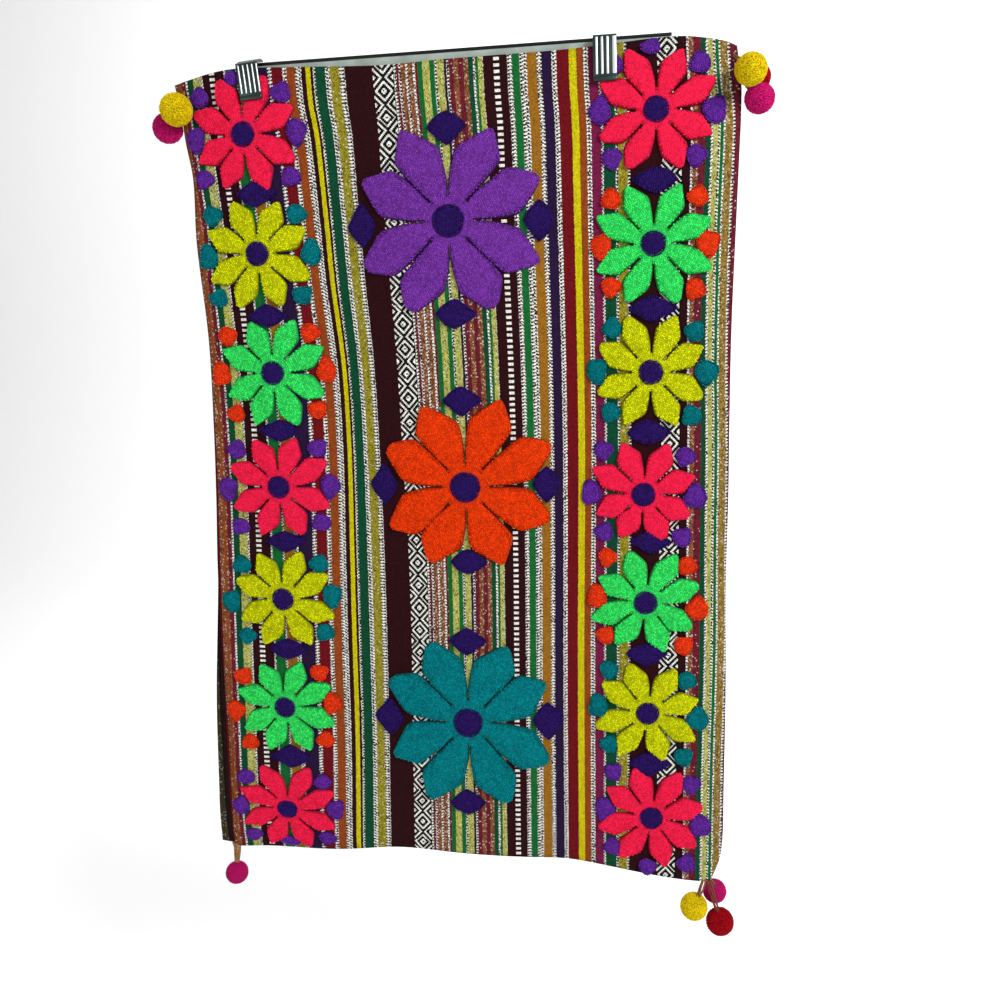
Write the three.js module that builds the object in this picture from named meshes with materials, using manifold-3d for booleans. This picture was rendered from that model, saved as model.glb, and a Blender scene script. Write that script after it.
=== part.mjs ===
// Embroidered pillow cover hung by two clips on a hanger bar.
// Millimetres, +Z up. The front faces -Y and X runs to the viewer's right.
// The origin is the top middle of the hanger's rail.
import * as THREE from 'three';
import { mergeVertices } from 'three/addons/utils/BufferGeometryUtils.js';
import loadManifold from 'manifold-3d';

const manifold = await loadManifold();
manifold.setup();

// Cloth of the cover
const CLOTH_THICKNESS = 2;
const SEAM_GAP = 0.7;
const POCKET_GAP = 2.2;
const BACK_INSET = 0.8;
const COLUMN_STEP = 21;
const ROW_STEP = 38;
const COVER_TOP = -10;
const COVER_BOTTOM = -765;

// Outline of the hung cover: the side edges at heights z, then the ends at places x
const SIDES = [
  { z: -10, left: -248, right: 248 },
  { z: -35, left: -243.5, right: 252 },
  { z: -60, left: -241.5, right: 252.5 },
  { z: -95, left: -236.5, right: 251.5 },
  { z: -150, left: -237, right: 250 },
  { z: -240, left: -232.5, right: 248 },
  { z: -320, left: -234, right: 248 },
  { z: -390, left: -237, right: 248.5 },
  { z: -470, left: -241.5, right: 248 },
  { z: -570, left: -243.5, right: 250 },
  { z: -670, left: -243.5, right: 250 },
  { z: -735, left: -246.5, right: 248 },
  { z: -765, left: -248, right: 238 },
];
const ENDS = [
  { x: -258, top: -20.5, bottom: -765.5 },
  { x: -246, top: -17.5, bottom: -765.5 },
  { x: -215, top: -11, bottom: -764.5 },
  { x: -187, top: -8.5, bottom: -764 },
  { x: -113, top: -10.5, bottom: -760.5 },
  { x: -55, top: -12, bottom: -755 },
  { x: 0, top: -9.8, bottom: -757.5 },
  { x: 90, top: -7.8, bottom: -761 },
  { x: 127, top: -6, bottom: -764 },
  { x: 149, top: -4.4, bottom: -766 },
  { x: 175, top: -2.4, bottom: -769 },
  { x: 200, top: -1.6, bottom: -772 },
  { x: 221, top: -3.6, bottom: -774 },
  { x: 238, top: -6.6, bottom: -775 },
  { x: 252, top: -12.5, bottom: -775.5 },
];

// Form of the hung cloth: a slack belly, soft troughs, corners and hem
const BELLY = { forward: 6, halfWidth: 260, drop: 130 };
const TROUGHS = [
  { x: -100, lean: -0.02, depth: 6, width: 40 },
  { x: 106, lean: 0.012, depth: 4.5, width: 40 },
  { x: -214, lean: -0.03, depth: 3, width: 34 },
];
const LEFT_CORNER = { x: -180, reach: 66, back: 7, drop: 190 };
const RIGHT_CORNER = { x: 205, reach: 48, back: 4, drop: 150 };
const HEM_CURL = { z: -712, reach: 50, x: -90, side: 90, back: 5 };
const LOW_CORNER = { z: -640, reach: 140, x: 90, side: 130, forward: 9 };
const EDGE_ROLL = { reach: 9, back: 1.5 };
const BACK_PEEK = { z: -430, reach: 260, out: 16.5, slope: 0.25 };

// Embroidery
const PILE_GAP = 0.68;
const PETALS = 8;
// Petal outline in shares of the flower's radius: each side widens to its turn, then narrows to the tip
const SMALL = {
  radius: 52, eye: 11, root: 0.33, pair: 0.04,
  axis: { turn: 0.705, half: 0.237 }, diagonal: { turn: 0.705, half: 0.222 },
};
const LARGE = {
  radius: 86, eye: 14.6, root: 0.26, pair: 0.055,
  axis: { turn: 0.68, half: 0.25 }, diagonal: { turn: 0.757, half: 0.223 },
};
const PETAL_TIP = 0.042;
const PETAL_EDGE = 1.3;
const PETAL_CREST = 2.5;
const PETAL_TIP_CREST = 1.6;
const PETAL_SLOT = 2.2;
const PETAL_TURN = 0.03;
const PETAL_STRETCH = 0.035;
const EYE_HEIGHT = 2.9;
const EYE_SHOULDER = { reach: 0.88, height: 0.75 };
const EYE_GAP = 0.4;
const EYE_SIDES = 10;

const PINK = 0xf61f4c;
const YELLOW = 0xd6da12;
const GREEN = 0x2fe06a;
const PURPLE = 0x6f2aa0;
const ORANGE = 0xfa3e08;
const TEAL = 0x047c84;
const INDIGO = 0x2c1468;

// Flowers: middle, height share, turn in degrees, growth and upward lift of the petals
const FLOWERS = [
  { name: 'left_1', x: -183.2, z: -64.5, tall: 1, turn: 0, grow: 1, lift: 0, size: SMALL, colour: PINK },
  { name: 'left_2', x: -176.8, z: -168.2, tall: 1, turn: 0, grow: 1, lift: 0, size: SMALL, colour: YELLOW },
  { name: 'left_3', x: -169.7, z: -276, tall: 1, turn: 0, grow: 1, lift: 0, size: SMALL, colour: GREEN },
  { name: 'left_4', x: -171.2, z: -383.7, tall: 1, turn: 1, grow: 1, lift: 0, size: SMALL, colour: PINK },
  { name: 'left_5', x: -174.5, z: -494.5, tall: 1, turn: 2, grow: 1, lift: 0, size: SMALL, colour: YELLOW },
  { name: 'left_6', x: -180, z: -606.5, tall: 0.97, turn: 4, grow: 1, lift: 0, size: SMALL, colour: GREEN },
  {
    name: 'left_7', x: -185, z: -717, tall: 0.88, turn: -1, grow: 1.05, lift: 0.06,
    size: SMALL, colour: PINK,
  },
  { name: 'right_1', x: 181, z: -59.5, tall: 1, turn: 0, grow: 1.03, lift: 0, size: SMALL, colour: PINK },
  { name: 'right_2', x: 179.5, z: -170, tall: 1, turn: 0, grow: 1.03, lift: 0, size: SMALL, colour: GREEN },
  { name: 'right_3', x: 178, z: -281, tall: 1, turn: -1, grow: 1, lift: 0, size: SMALL, colour: YELLOW },
  {
    name: 'right_4', x: 172, z: -391.5, tall: 1, turn: -3, grow: 0.96, lift: 0.05,
    size: SMALL, colour: PINK,
  },
  { name: 'right_5', x: 174.5, z: -494, tall: 1, turn: -6, grow: 1, lift: 0, size: SMALL, colour: GREEN },
  { name: 'right_6', x: 177, z: -603.5, tall: 1, turn: -7, grow: 1, lift: 0, size: SMALL, colour: YELLOW },
  { name: 'right_7', x: 181, z: -709.5, tall: 1, turn: -8, grow: 1, lift: 0, size: SMALL, colour: PINK },
  { name: 'middle_1', x: 0.5, z: -145.4, tall: 1, turn: 0, grow: 1.03, lift: 0, size: LARGE, colour: PURPLE },
  {
    name: 'middle_2', x: 8.5, z: -383.6, tall: 1, turn: 0, grow: 0.975, lift: 0.04,
    size: LARGE, colour: ORANGE,
  },
  { name: 'middle_3', x: 4.6, z: -616, tall: 1.05, turn: 0, grow: 1, lift: 0, size: LARGE, colour: TEAL },
];

// Pompoms: middle of the ball, its radius, and where its string is sewn on: at x on the front
// near the top or on the hem, or at height z on a side edge
const POMPOM_CORE = 0.56;
const LOCK_SPREAD = 1.2;
const LOCK_UNEVEN = 0.04;
const STRING_HALF = 0.9;
const MAGENTA = 0xd0125e;
const CRIMSON = 0x9c0a1c;
const SUN = 0xe6c414;
const POMPOMS = [
  { name: 'top_left_1', x: -240.5, y: -10, z: -42.5, r: 14.2, sewTo: 'front', at: -239, colour: SUN },
  { name: 'top_left_2', x: -258, y: 9, z: -54, r: 13.4, sewTo: 'side', at: -27, colour: MAGENTA },
  { name: 'top_right_1', x: 257, y: -17, z: -34.5, r: 13.2, sewTo: 'front', at: 245, colour: SUN },
  { name: 'top_right_2', x: 267, y: 0, z: -54, r: 12.6, sewTo: 'side', at: -38, colour: MAGENTA },
  { name: 'top_right_3', x: 266.5, y: 16, z: -33.5, r: 11.8, sewTo: 'side', at: -28, colour: CRIMSON },
  { name: 'low_left_1', x: -246.5, y: 2, z: -794, r: 11.5, sewTo: 'hem', at: -246, colour: MAGENTA },
  { name: 'low_right_1', x: 223, y: -9, z: -802.5, r: 13.2, sewTo: 'hem', at: 231, colour: SUN },
  { name: 'low_right_2', x: 244.5, y: 7, z: -795, r: 11.5, sewTo: 'hem', at: 237, colour: MAGENTA },
  { name: 'low_right_3', x: 249, y: -4, z: -821, r: 13.4, sewTo: 'hem', at: 234, colour: CRIMSON },
];
const SEW_GAP = 1;
const SEW_DOWN = 9;

// Hanger: its bar and rail slope up to the right, and each clip hangs over them
const HANGER_TILT = 0.018;
const BAR = { left: -187, right: 192, front: 5.8, back: 10.8, top: -2.9, bottom: -13, round: 1.6 };
const RAIL = { left: -187, right: 194, front: 6.4, back: 10.2, top: 0, bottom: -2.6, round: 0.8 };
const CLIP_WIDTH = 20;
const CLIP_PLATE = 1.2;
const CLIP_FRONT = -4.6;
const CLIP_BACK = 11.2;
const CLIP_GRIP = 6;
const CLIP_BEND = { from: -13.6, to: -19.6 };
const CLIP_GAP = 0.3;
const CLIP_LIP = { tall: 4, out: 2.4 };
const CLIP_RIBS = [
  { x: -7, width: 2.2 },
  { x: -2.4, width: 2.2 },
  { x: 2.2, width: 2.2 },
  { x: 7.8, width: 3.8 },
];
const RIB_HEIGHT = 1.1;
const SADDLE_KNEE = 5.4;
// Clips: place on the rail, clearance over it, top and bottom of the front jaw below the rail, lean
const CLIPS = [
  { name: 'left', x: -175.5, over: 1.2, top: 4, drop: 33.4, lean: 0.09 },
  { name: 'right', x: 137.5, over: CLIP_GAP, top: 2.6, drop: 38, lean: HANGER_TILT },
];

const { lerp } = THREE.MathUtils;
const clamp01 = (value) => Math.min(1, Math.max(0, value));
const ease = (value) => {
  const t = clamp01(value);
  return t * t * (3 - 2 * t);
};

// Even, repeatable unevenness between -1 and 1 for hand work
const uneven = (seed) => {
  const wave = Math.sin(seed * 12.9898) * 43758.5453;
  return 2 * (wave - Math.floor(wave)) - 1;
};

// A named column of a table, read along a smooth curve through its rows
function between(rows, key, column, at) {
  const sorted = [...rows].sort((a, b) => a[key] - b[key]);
  const last = sorted.length - 1;
  const slopeAt = (n) => {
    const before = sorted[Math.max(0, n - 1)];
    const after = sorted[Math.min(last, n + 1)];
    return (after[column] - before[column]) / (after[key] - before[key]);
  };
  let i = 0;
  while (i < last - 1 && at > sorted[i + 1][key]) i += 1;
  const low = sorted[i];
  const high = sorted[i + 1];
  const span = high[key] - low[key];
  const t = clamp01((at - low[key]) / span);
  const bow = (slopeAt(i) * (1 - t) - slopeAt(i + 1) * t) * span * t * (1 - t);
  const rise = high[column] - low[column];
  return low[column] + rise * ease(t) + bow;
}

const leftEdge = (z) => between(SIDES, 'z', 'left', z);
const rightEdge = (z) => between(SIDES, 'z', 'right', z);
const topEdge = (x) => between(ENDS, 'x', 'top', x);
const bottomEdge = (x) => between(ENDS, 'x', 'bottom', x);

// Depth y of the cover's front face at (x, z)
function frontDepth(x, z) {
  const slack = ease((COVER_TOP - z) / BELLY.drop);
  const middle = (COVER_TOP + COVER_BOTTOM) / 2;
  let y = -BELLY.forward * Math.cos((Math.PI * x) / (2 * BELLY.halfWidth)) * slack;
  for (const trough of TROUGHS) {
    const off = (x - trough.x - trough.lean * (z - middle)) / trough.width;
    y += trough.depth * Math.exp(-off * off) * slack;
  }
  const leftUp = 1 - ease(-z / LEFT_CORNER.drop);
  y += LEFT_CORNER.back * ease((LEFT_CORNER.x - x) / LEFT_CORNER.reach) * leftUp;
  const rightUp = 1 - ease(-z / RIGHT_CORNER.drop);
  y += RIGHT_CORNER.back * ease((x - RIGHT_CORNER.x) / RIGHT_CORNER.reach) * rightUp;
  const curl = clamp01((HEM_CURL.z - z) / HEM_CURL.reach) ** 2;
  y += HEM_CURL.back * curl * ease((HEM_CURL.x - x) / HEM_CURL.side);
  const low = ease((LOW_CORNER.z - z) / LOW_CORNER.reach);
  y -= LOW_CORNER.forward * low * ease((x - LOW_CORNER.x) / LOW_CORNER.side);
  const roll = clamp01((leftEdge(z) + EDGE_ROLL.reach - x) / EDGE_ROLL.reach);
  return y + EDGE_ROLL.back * roll * roll;
}

// Shares from 0 to 1 at an even step, with more of them at the bends of the cloth
function sharesOf(length, step, bends) {
  const count = Math.round(length / step);
  const even = Array.from({ length: count + 1 }, (_, i) => i / count);
  const extra = bends.map((place) => place / length);
  return [...even, ...extra].sort((a, b) => a - b);
}

function panelColumns() {
  const { left } = SIDES[0];
  const { right } = SIDES[SIDES.length - 1];
  const bends = [1, 2, 3].map((n) => (n * EDGE_ROLL.reach) / 3);
  return sharesOf(right - left, COLUMN_STEP, bends);
}

function panelRows() {
  const corner = SIDES[0].z - SIDES[1].z;
  const bends = [corner / 2, corner];
  for (const share of [0.2, 0.5, 0.75]) bends.push(COVER_TOP - HEM_CURL.z + share * HEM_CURL.reach);
  return sharesOf(COVER_TOP - COVER_BOTTOM, ROW_STEP, bends);
}

// A sheet of cloth: a thin box whose points are moved onto the hung form
function sheetGeometry(inset, peek, gapAt) {
  const columns = panelColumns();
  const rows = panelRows();
  const box = new THREE.BoxGeometry(1, 1, 1, columns.length - 1, 1, rows.length - 1);
  const points = box.getAttribute('position');
  for (let i = 0; i < points.count; i += 1) {
    const s = columns[Math.round((points.getX(i) + 0.5) * (columns.length - 1))];
    const down = rows[Math.round((0.5 - points.getZ(i)) * (rows.length - 1))];
    const level = lerp(COVER_TOP, COVER_BOTTOM, down);
    const out = s === 0 ? peek(level) : 0;
    const x = lerp(leftEdge(level) - out, rightEdge(level), s);
    const z = lerp(topEdge(x) - inset, bottomEdge(x) + inset, down);
    const behind = points.getY(i) > 0 ? CLOTH_THICKNESS : 0;
    const y = frontDepth(x, z) + gapAt(s, down) + BACK_PEEK.slope * out;
    points.setXYZ(i, x, y + behind, z);
  }
  return box;
}

function frontPanel() {
  return sheetGeometry(0, () => 0, () => 0);
}

// The back lies a seam's gap behind the front, a little more in the middle of the pocket
function backPanel() {
  const peek = (z) => BACK_PEEK.out * ease((BACK_PEEK.z - z) / BACK_PEEK.reach);
  const pocket = (s, down) => POCKET_GAP * Math.sin(Math.PI * s) * Math.sin(Math.PI * down);
  return sheetGeometry(BACK_INSET, peek, (s, down) => CLOTH_THICKNESS + SEAM_GAP + pocket(s, down));
}

// Reach of a petal to its axis side and to its diagonal side at a share of the flower's radius
function petalSides(size, share) {
  const half = Math.PI / PETALS;
  const side = (angle, { turn, half: full }) => {
    const root = size.root * Math.tan(angle) - PETAL_SLOT / 2 / size.radius;
    const widening = lerp(root, full, (share - size.root) / (turn - size.root));
    const narrowing = lerp(full, PETAL_TIP, (share - turn) / (1 - turn));
    return size.radius * (share < turn ? widening : narrowing);
  };
  return { axis: side(half + size.pair, size.axis), diagonal: side(half - size.pair, size.diagonal) };
}

// Eight domed petals standing on a ring around the eye, laid on the cloth in pairs by the diagonals
function flowerGeometry(flower) {
  const { size } = flower;
  const positions = [];
  const index = [];
  const point = (along, across, angle, height) => {
    const u = along * Math.cos(angle) - across * Math.sin(angle);
    const v = (along * Math.sin(angle) + across * Math.cos(angle)) * flower.tall;
    const x = flower.x + u;
    const z = flower.z + v;
    positions.push(x, frontDepth(x, z) - PILE_GAP - height, z);
    return positions.length / 3 - 1;
  };
  const face = (...corners) => {
    for (let i = 2; i < corners.length; i += 1) index.push(corners[0], corners[i - 1], corners[i]);
  };
  const pitch = (2 * Math.PI) / PETALS;
  const turned = THREE.MathUtils.degToRad(flower.turn);
  const stationShares = [...new Set([size.root, size.axis.turn, size.diagonal.turn, 1])];
  const rim = (size.eye + EYE_GAP) / Math.cos(pitch / 2);
  const rimTop = [];
  const rimBase = [];
  for (let k = 0; k < 2 * PETALS; k += 1) {
    const angle = turned + (k * pitch) / 2;
    rimTop.push(point(rim, 0, angle, PETAL_EDGE));
    rimBase.push(k % 2 === 0 ? point(rim, 0, angle, 0) : null);
  }
  const petals = Array.from({ length: PETALS }, (_, k) => {
    const seed = flower.x + flower.z + 2 * PETALS * k;
    const hand = k % 2 === 0 ? 1 : -1;
    const angle = turned + (k + 0.5) * pitch + hand * size.pair;
    const turn = PETAL_TURN * uneven(seed);
    const reach = flower.grow + flower.lift * Math.sin(angle) + PETAL_STRETCH * uneven(seed + PETALS);
    return stationShares.map((share, j) => {
      const { axis, diagonal } = petalSides(size, share);
      const [right, left] = hand > 0 ? [axis, diagonal] : [diagonal, axis];
      const along = size.radius * share * (j === 0 ? 1 : reach);
      const lean = j === 0 ? angle : angle + turn;
      const crest = share === 1 ? PETAL_TIP_CREST : PETAL_CREST;
      return {
        right: point(along, -right, lean, PETAL_EDGE),
        middle: point(along, (left - right) / 2, lean, crest),
        left: point(along, left, lean, PETAL_EDGE),
        rightBase: point(along, -right, lean, 0),
        leftBase: point(along, left, lean, 0),
      };
    });
  });
  petals.forEach((stations, k) => {
    const root = stations[0];
    const next = petals[(k + 1) % PETALS][0];
    const [a, b, c] = [2 * k, 2 * k + 1, (2 * k + 2) % (2 * PETALS)];
    face(rimTop[a], root.right, root.middle, rimTop[b]);
    face(rimTop[b], root.middle, root.left, rimTop[c]);
    face(rimTop[c], root.left, next.right);
    face(rimBase[a], rimBase[c], root.leftBase, root.rightBase);
    face(rimBase[c], next.rightBase, root.leftBase);
    face(rimTop[b], rimTop[c], rimBase[c], rimBase[a], rimTop[a]);
    face(root.left, root.leftBase, next.rightBase, next.right);
    for (let j = 1; j < stations.length; j += 1) {
      const low = stations[j - 1];
      const high = stations[j];
      face(low.right, high.right, high.middle, low.middle);
      face(low.middle, high.middle, high.left, low.left);
      face(low.rightBase, low.leftBase, high.leftBase, high.rightBase);
      face(low.right, low.rightBase, high.rightBase, high.right);
      face(low.left, high.left, high.leftBase, low.leftBase);
    }
    const tip = stations[stations.length - 1];
    face(tip.middle, tip.right, tip.rightBase, tip.leftBase, tip.left);
  });
  const geometry = new THREE.BufferGeometry();
  geometry.setAttribute('position', new THREE.Float32BufferAttribute(positions, 3));
  geometry.setIndex(index);
  return geometry;
}

// Domed middle of a flower, laid on the cloth inside the petals' ring
function eyeGeometry(flower) {
  const radius = flower.size.eye;
  const profile = [
    new THREE.Vector2(0, 0),
    new THREE.Vector2(radius, 0),
    new THREE.Vector2(radius * EYE_SHOULDER.reach, EYE_HEIGHT * EYE_SHOULDER.height),
    new THREE.Vector2(0, EYE_HEIGHT),
  ];
  const dome = new THREE.LatheGeometry(profile, EYE_SIDES);
  const points = dome.getAttribute('position');
  for (let i = 0; i < points.count; i += 1) {
    const x = flower.x + points.getX(i);
    const z = flower.z - points.getZ(i) * flower.tall;
    points.setXYZ(i, x, frontDepth(x, z) - PILE_GAP - points.getY(i), z);
  }
  return dome;
}

// A ball of three-sided locks on a core. The lock that faces the seam runs on as the string.
function pompomGeometry(pompom) {
  const middle = new THREE.Vector3(pompom.x, pompom.y, pompom.z);
  const sewn = sewPoint(pompom);
  const pull = sewn.clone().sub(middle).normalize();
  const core = new THREE.OctahedronGeometry(pompom.r * POMPOM_CORE, 1);
  const points = core.getAttribute('position');
  const faces = Array.from({ length: points.count / 3 }, (_, i) => {
    const corners = [0, 1, 2].map((n) => new THREE.Vector3().fromBufferAttribute(points, 3 * i + n));
    const out = corners[0].clone().add(corners[1]).add(corners[2]).normalize();
    return { corners, out };
  });
  const string = faces.reduce((best, face) => (face.out.dot(pull) > best.out.dot(pull) ? face : best));
  const positions = [];
  const triangle = (...corners) => corners.forEach((p) => positions.push(p.x, p.y, p.z));
  faces.forEach((face, i) => {
    const reach = pompom.r * (1 - LOCK_UNEVEN + LOCK_UNEVEN * uneven(i + pompom.x));
    const flat = face.corners.map((p) => p.clone().addScaledVector(face.out, -p.dot(face.out)));
    let cap = flat.map((p) => p.multiplyScalar(LOCK_SPREAD).addScaledVector(face.out, reach));
    if (face === string) {
      const end = sewn.clone().sub(middle);
      cap = cap.map((p) => p.addScaledVector(face.out, -reach).setLength(STRING_HALF).add(end));
    }
    const base = face.corners;
    for (let n = 0; n < 3; n += 1) {
      const m = (n + 1) % 3;
      triangle(base[n], base[m], cap[m]);
      triangle(base[n], cap[m], cap[n]);
    }
    triangle(...cap);
  });
  const geometry = new THREE.BufferGeometry();
  geometry.setAttribute('position', new THREE.Float32BufferAttribute(positions, 3));
  geometry.translate(middle.x, middle.y, middle.z);
  return geometry;
}

// End of a string, just clear of the cloth that it is sewn to
function sewPoint({ x, sewTo, at }) {
  if (sewTo === 'front') {
    const z = topEdge(at) - SEW_DOWN;
    return new THREE.Vector3(at, frontDepth(at, z) - SEW_GAP, z);
  }
  if (sewTo === 'hem') {
    const z = bottomEdge(at) - SEW_GAP;
    return new THREE.Vector3(at, frontDepth(at, z) + CLOTH_THICKNESS / 2, z);
  }
  const edge = x < 0 ? sideAt(leftEdge, at) - SEW_GAP : sideAt(rightEdge, at) + SEW_GAP;
  return new THREE.Vector3(edge, frontDepth(edge, at) + CLOTH_THICKNESS / 2, at);
}

// Place x of a panel's side at height z, where its top edge droops
function sideAt(edgeOf, z) {
  const x = edgeOf(z);
  const down = (z - topEdge(x)) / (bottomEdge(x) - topEdge(x));
  return edgeOf(lerp(COVER_TOP, COVER_BOTTOM, down));
}

// A bar along X with rounded long edges
function barGeometry(bar) {
  const shape = new THREE.Shape();
  const { front, back, top, bottom, round } = bar;
  shape.moveTo(front + round, bottom);
  shape.lineTo(back - round, bottom);
  shape.quadraticCurveTo(back, bottom, back, bottom + round);
  shape.lineTo(back, top - round);
  shape.quadraticCurveTo(back, top, back - round, top);
  shape.lineTo(front + round, top);
  shape.quadraticCurveTo(front, top, front, top - round);
  shape.lineTo(front, bottom + round);
  shape.quadraticCurveTo(front, bottom, front + round, bottom);
  return alongX(shape, bar.left, bar.right);
}

// A section drawn in (y, z) and run along X
function alongX(shape, from, to) {
  const options = { depth: to - from, bevelEnabled: false, curveSegments: 3 };
  const geometry = new THREE.ExtrudeGeometry(shape, options);
  const turn = new THREE.Matrix4().makeBasis(
    new THREE.Vector3(0, 1, 0),
    new THREE.Vector3(0, 0, 1),
    new THREE.Vector3(1, 0, 0),
  );
  return geometry.applyMatrix4(turn).translate(from, 0, 0);
}

function solidOf(geometry) {
  const bare = geometry.clone();
  bare.deleteAttribute('normal');
  bare.deleteAttribute('uv');
  const merged = mergeVertices(bare, 1e-4);
  const mesh = new manifold.Mesh({
    numProp: 3,
    vertProperties: new Float32Array(merged.getAttribute('position').array),
    triVerts: new Uint32Array(merged.getIndex().array),
  });
  return new manifold.Manifold(mesh);
}

function joined(first, second) {
  const mesh = solidOf(first).add(solidOf(second)).getMesh();
  const geometry = new THREE.BufferGeometry();
  const points = new Float32Array(mesh.vertProperties);
  geometry.setAttribute('position', new THREE.BufferAttribute(points, mesh.numProp));
  geometry.setIndex(new THREE.BufferAttribute(new Uint32Array(mesh.triVerts), 1));
  return geometry;
}

// Front jaw: a ribbed plate with a thick lip along its lower edge
function frontJaw(clip) {
  const half = CLIP_WIDTH / 2;
  const face = -CLIP_PLATE;
  const shape = new THREE.Shape();
  shape.moveTo(half, 0);
  shape.lineTo(-half, 0);
  shape.lineTo(-half, face);
  for (const rib of CLIP_RIBS) {
    shape.lineTo(rib.x - rib.width / 2, face);
    shape.lineTo(rib.x - rib.width / 4, face - RIB_HEIGHT);
    shape.lineTo(rib.x + rib.width / 4, face - RIB_HEIGHT);
    shape.lineTo(rib.x + rib.width / 2, face);
  }
  shape.lineTo(half, face);
  const plate = new THREE.ExtrudeGeometry(shape, { depth: clip.drop - clip.top, bevelEnabled: false });
  plate.translate(0, 0, -clip.drop);
  const lip = new THREE.BoxGeometry(CLIP_WIDTH, CLIP_LIP.out, CLIP_LIP.tall);
  lip.translate(0, -CLIP_LIP.out / 2, CLIP_LIP.tall / 2 - clip.drop);
  return joined(plate, lip).translate(0, CLIP_FRONT, 0);
}

// Back jaw: a plate that passes behind the bar and bends in to the cloth
function backJaw(clip) {
  const shape = new THREE.Shape();
  shape.moveTo(CLIP_BACK, 0);
  shape.lineTo(CLIP_BACK, CLIP_BEND.from);
  shape.lineTo(CLIP_GRIP, CLIP_BEND.to);
  shape.lineTo(CLIP_GRIP, -clip.drop);
  shape.lineTo(CLIP_GRIP + CLIP_PLATE, -clip.drop);
  shape.lineTo(CLIP_GRIP + CLIP_PLATE, CLIP_BEND.to);
  shape.lineTo(CLIP_BACK + CLIP_PLATE, CLIP_BEND.from);
  shape.lineTo(CLIP_BACK + CLIP_PLATE, 0);
  return alongX(shape, -CLIP_WIDTH / 2, CLIP_WIDTH / 2);
}

// Saddle: the plate over the rail that carries both jaws and slopes down to the front one
function saddle(clip) {
  const front = CLIP_FRONT - CLIP_PLATE;
  const back = CLIP_BACK + CLIP_PLATE;
  const low = CLIP_GAP - clip.top;
  const shape = new THREE.Shape();
  shape.moveTo(back, clip.over);
  shape.lineTo(back, clip.over + CLIP_PLATE);
  shape.lineTo(SADDLE_KNEE, clip.over + CLIP_PLATE);
  shape.lineTo(front, low + CLIP_PLATE);
  shape.lineTo(front, low);
  shape.lineTo(SADDLE_KNEE, clip.over);
  return alongX(shape, -CLIP_WIDTH / 2, CLIP_WIDTH / 2);
}

const group = new THREE.Group();
group.position.y = -(RAIL.front + RAIL.back) / 2;

function add(name, geometry, colour, roughness, metalness = 0) {
  const material = new THREE.MeshStandardMaterial({ color: colour, roughness, metalness });
  const mesh = new THREE.Mesh(geometry, material);
  mesh.name = name;
  group.add(mesh);
  return mesh;
}

add('front_panel', frontPanel(), 0x5c1a22, 0.95);
add('back_panel', backPanel(), 0x5c1a22, 0.95);
for (const flower of FLOWERS) {
  add(`flower_${flower.name}`, flowerGeometry(flower), flower.colour, 0.98);
  add(`eye_${flower.name}`, eyeGeometry(flower), INDIGO, 0.98);
}
for (const pompom of POMPOMS) {
  add(`pompom_${pompom.name}`, pompomGeometry(pompom), pompom.colour, 1);
}
add('hanger_bar', barGeometry(BAR), 0x97a19a, 0.35).rotation.y = -HANGER_TILT;
add('hanger_rail', barGeometry(RAIL), 0x2a2a2c, 0.3, 0.8).rotation.y = -HANGER_TILT;
for (const clip of CLIPS) {
  const pieces = { front: frontJaw(clip), back: backJaw(clip), saddle: saddle(clip) };
  for (const [piece, geometry] of Object.entries(pieces)) {
    const mesh = add(`clip_${clip.name}_${piece}`, geometry, 0xb9bcc0, 0.22, 1);
    mesh.position.set(clip.x, 0, clip.x * Math.tan(HANGER_TILT));
    mesh.rotation.y = -clip.lean;
  }
}

export default group;
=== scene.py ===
import math

import bpy
import numpy as np
from mathutils import Matrix, Vector


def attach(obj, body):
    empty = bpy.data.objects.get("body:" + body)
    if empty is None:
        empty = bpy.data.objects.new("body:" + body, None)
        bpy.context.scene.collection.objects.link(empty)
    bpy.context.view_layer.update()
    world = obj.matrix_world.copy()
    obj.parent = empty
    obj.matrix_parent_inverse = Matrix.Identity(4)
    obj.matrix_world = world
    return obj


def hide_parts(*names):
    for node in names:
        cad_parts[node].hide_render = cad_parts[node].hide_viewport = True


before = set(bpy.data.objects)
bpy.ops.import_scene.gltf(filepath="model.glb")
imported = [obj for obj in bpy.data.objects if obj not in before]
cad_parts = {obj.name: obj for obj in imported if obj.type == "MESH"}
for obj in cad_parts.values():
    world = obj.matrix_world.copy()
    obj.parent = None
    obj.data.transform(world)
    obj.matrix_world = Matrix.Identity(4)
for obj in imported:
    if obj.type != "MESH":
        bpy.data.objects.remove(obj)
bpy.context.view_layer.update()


def table(columns, *rows):
    """Rows of numbers under named columns."""
    names = columns.split()
    return [dict(zip(names, row)) for row in rows]


# Millimetres in the tables below, metres in the scene
MM = 0.001
RAIL_DEPTH = 8.3
CLOTH_THICKNESS = 2.0
SEAM_GAP = 0.7
POCKET_GAP = 2.2
BACK_INSET = 0.8
COVER_TOP = -10.0
COVER_BOTTOM = -765.0

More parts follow.
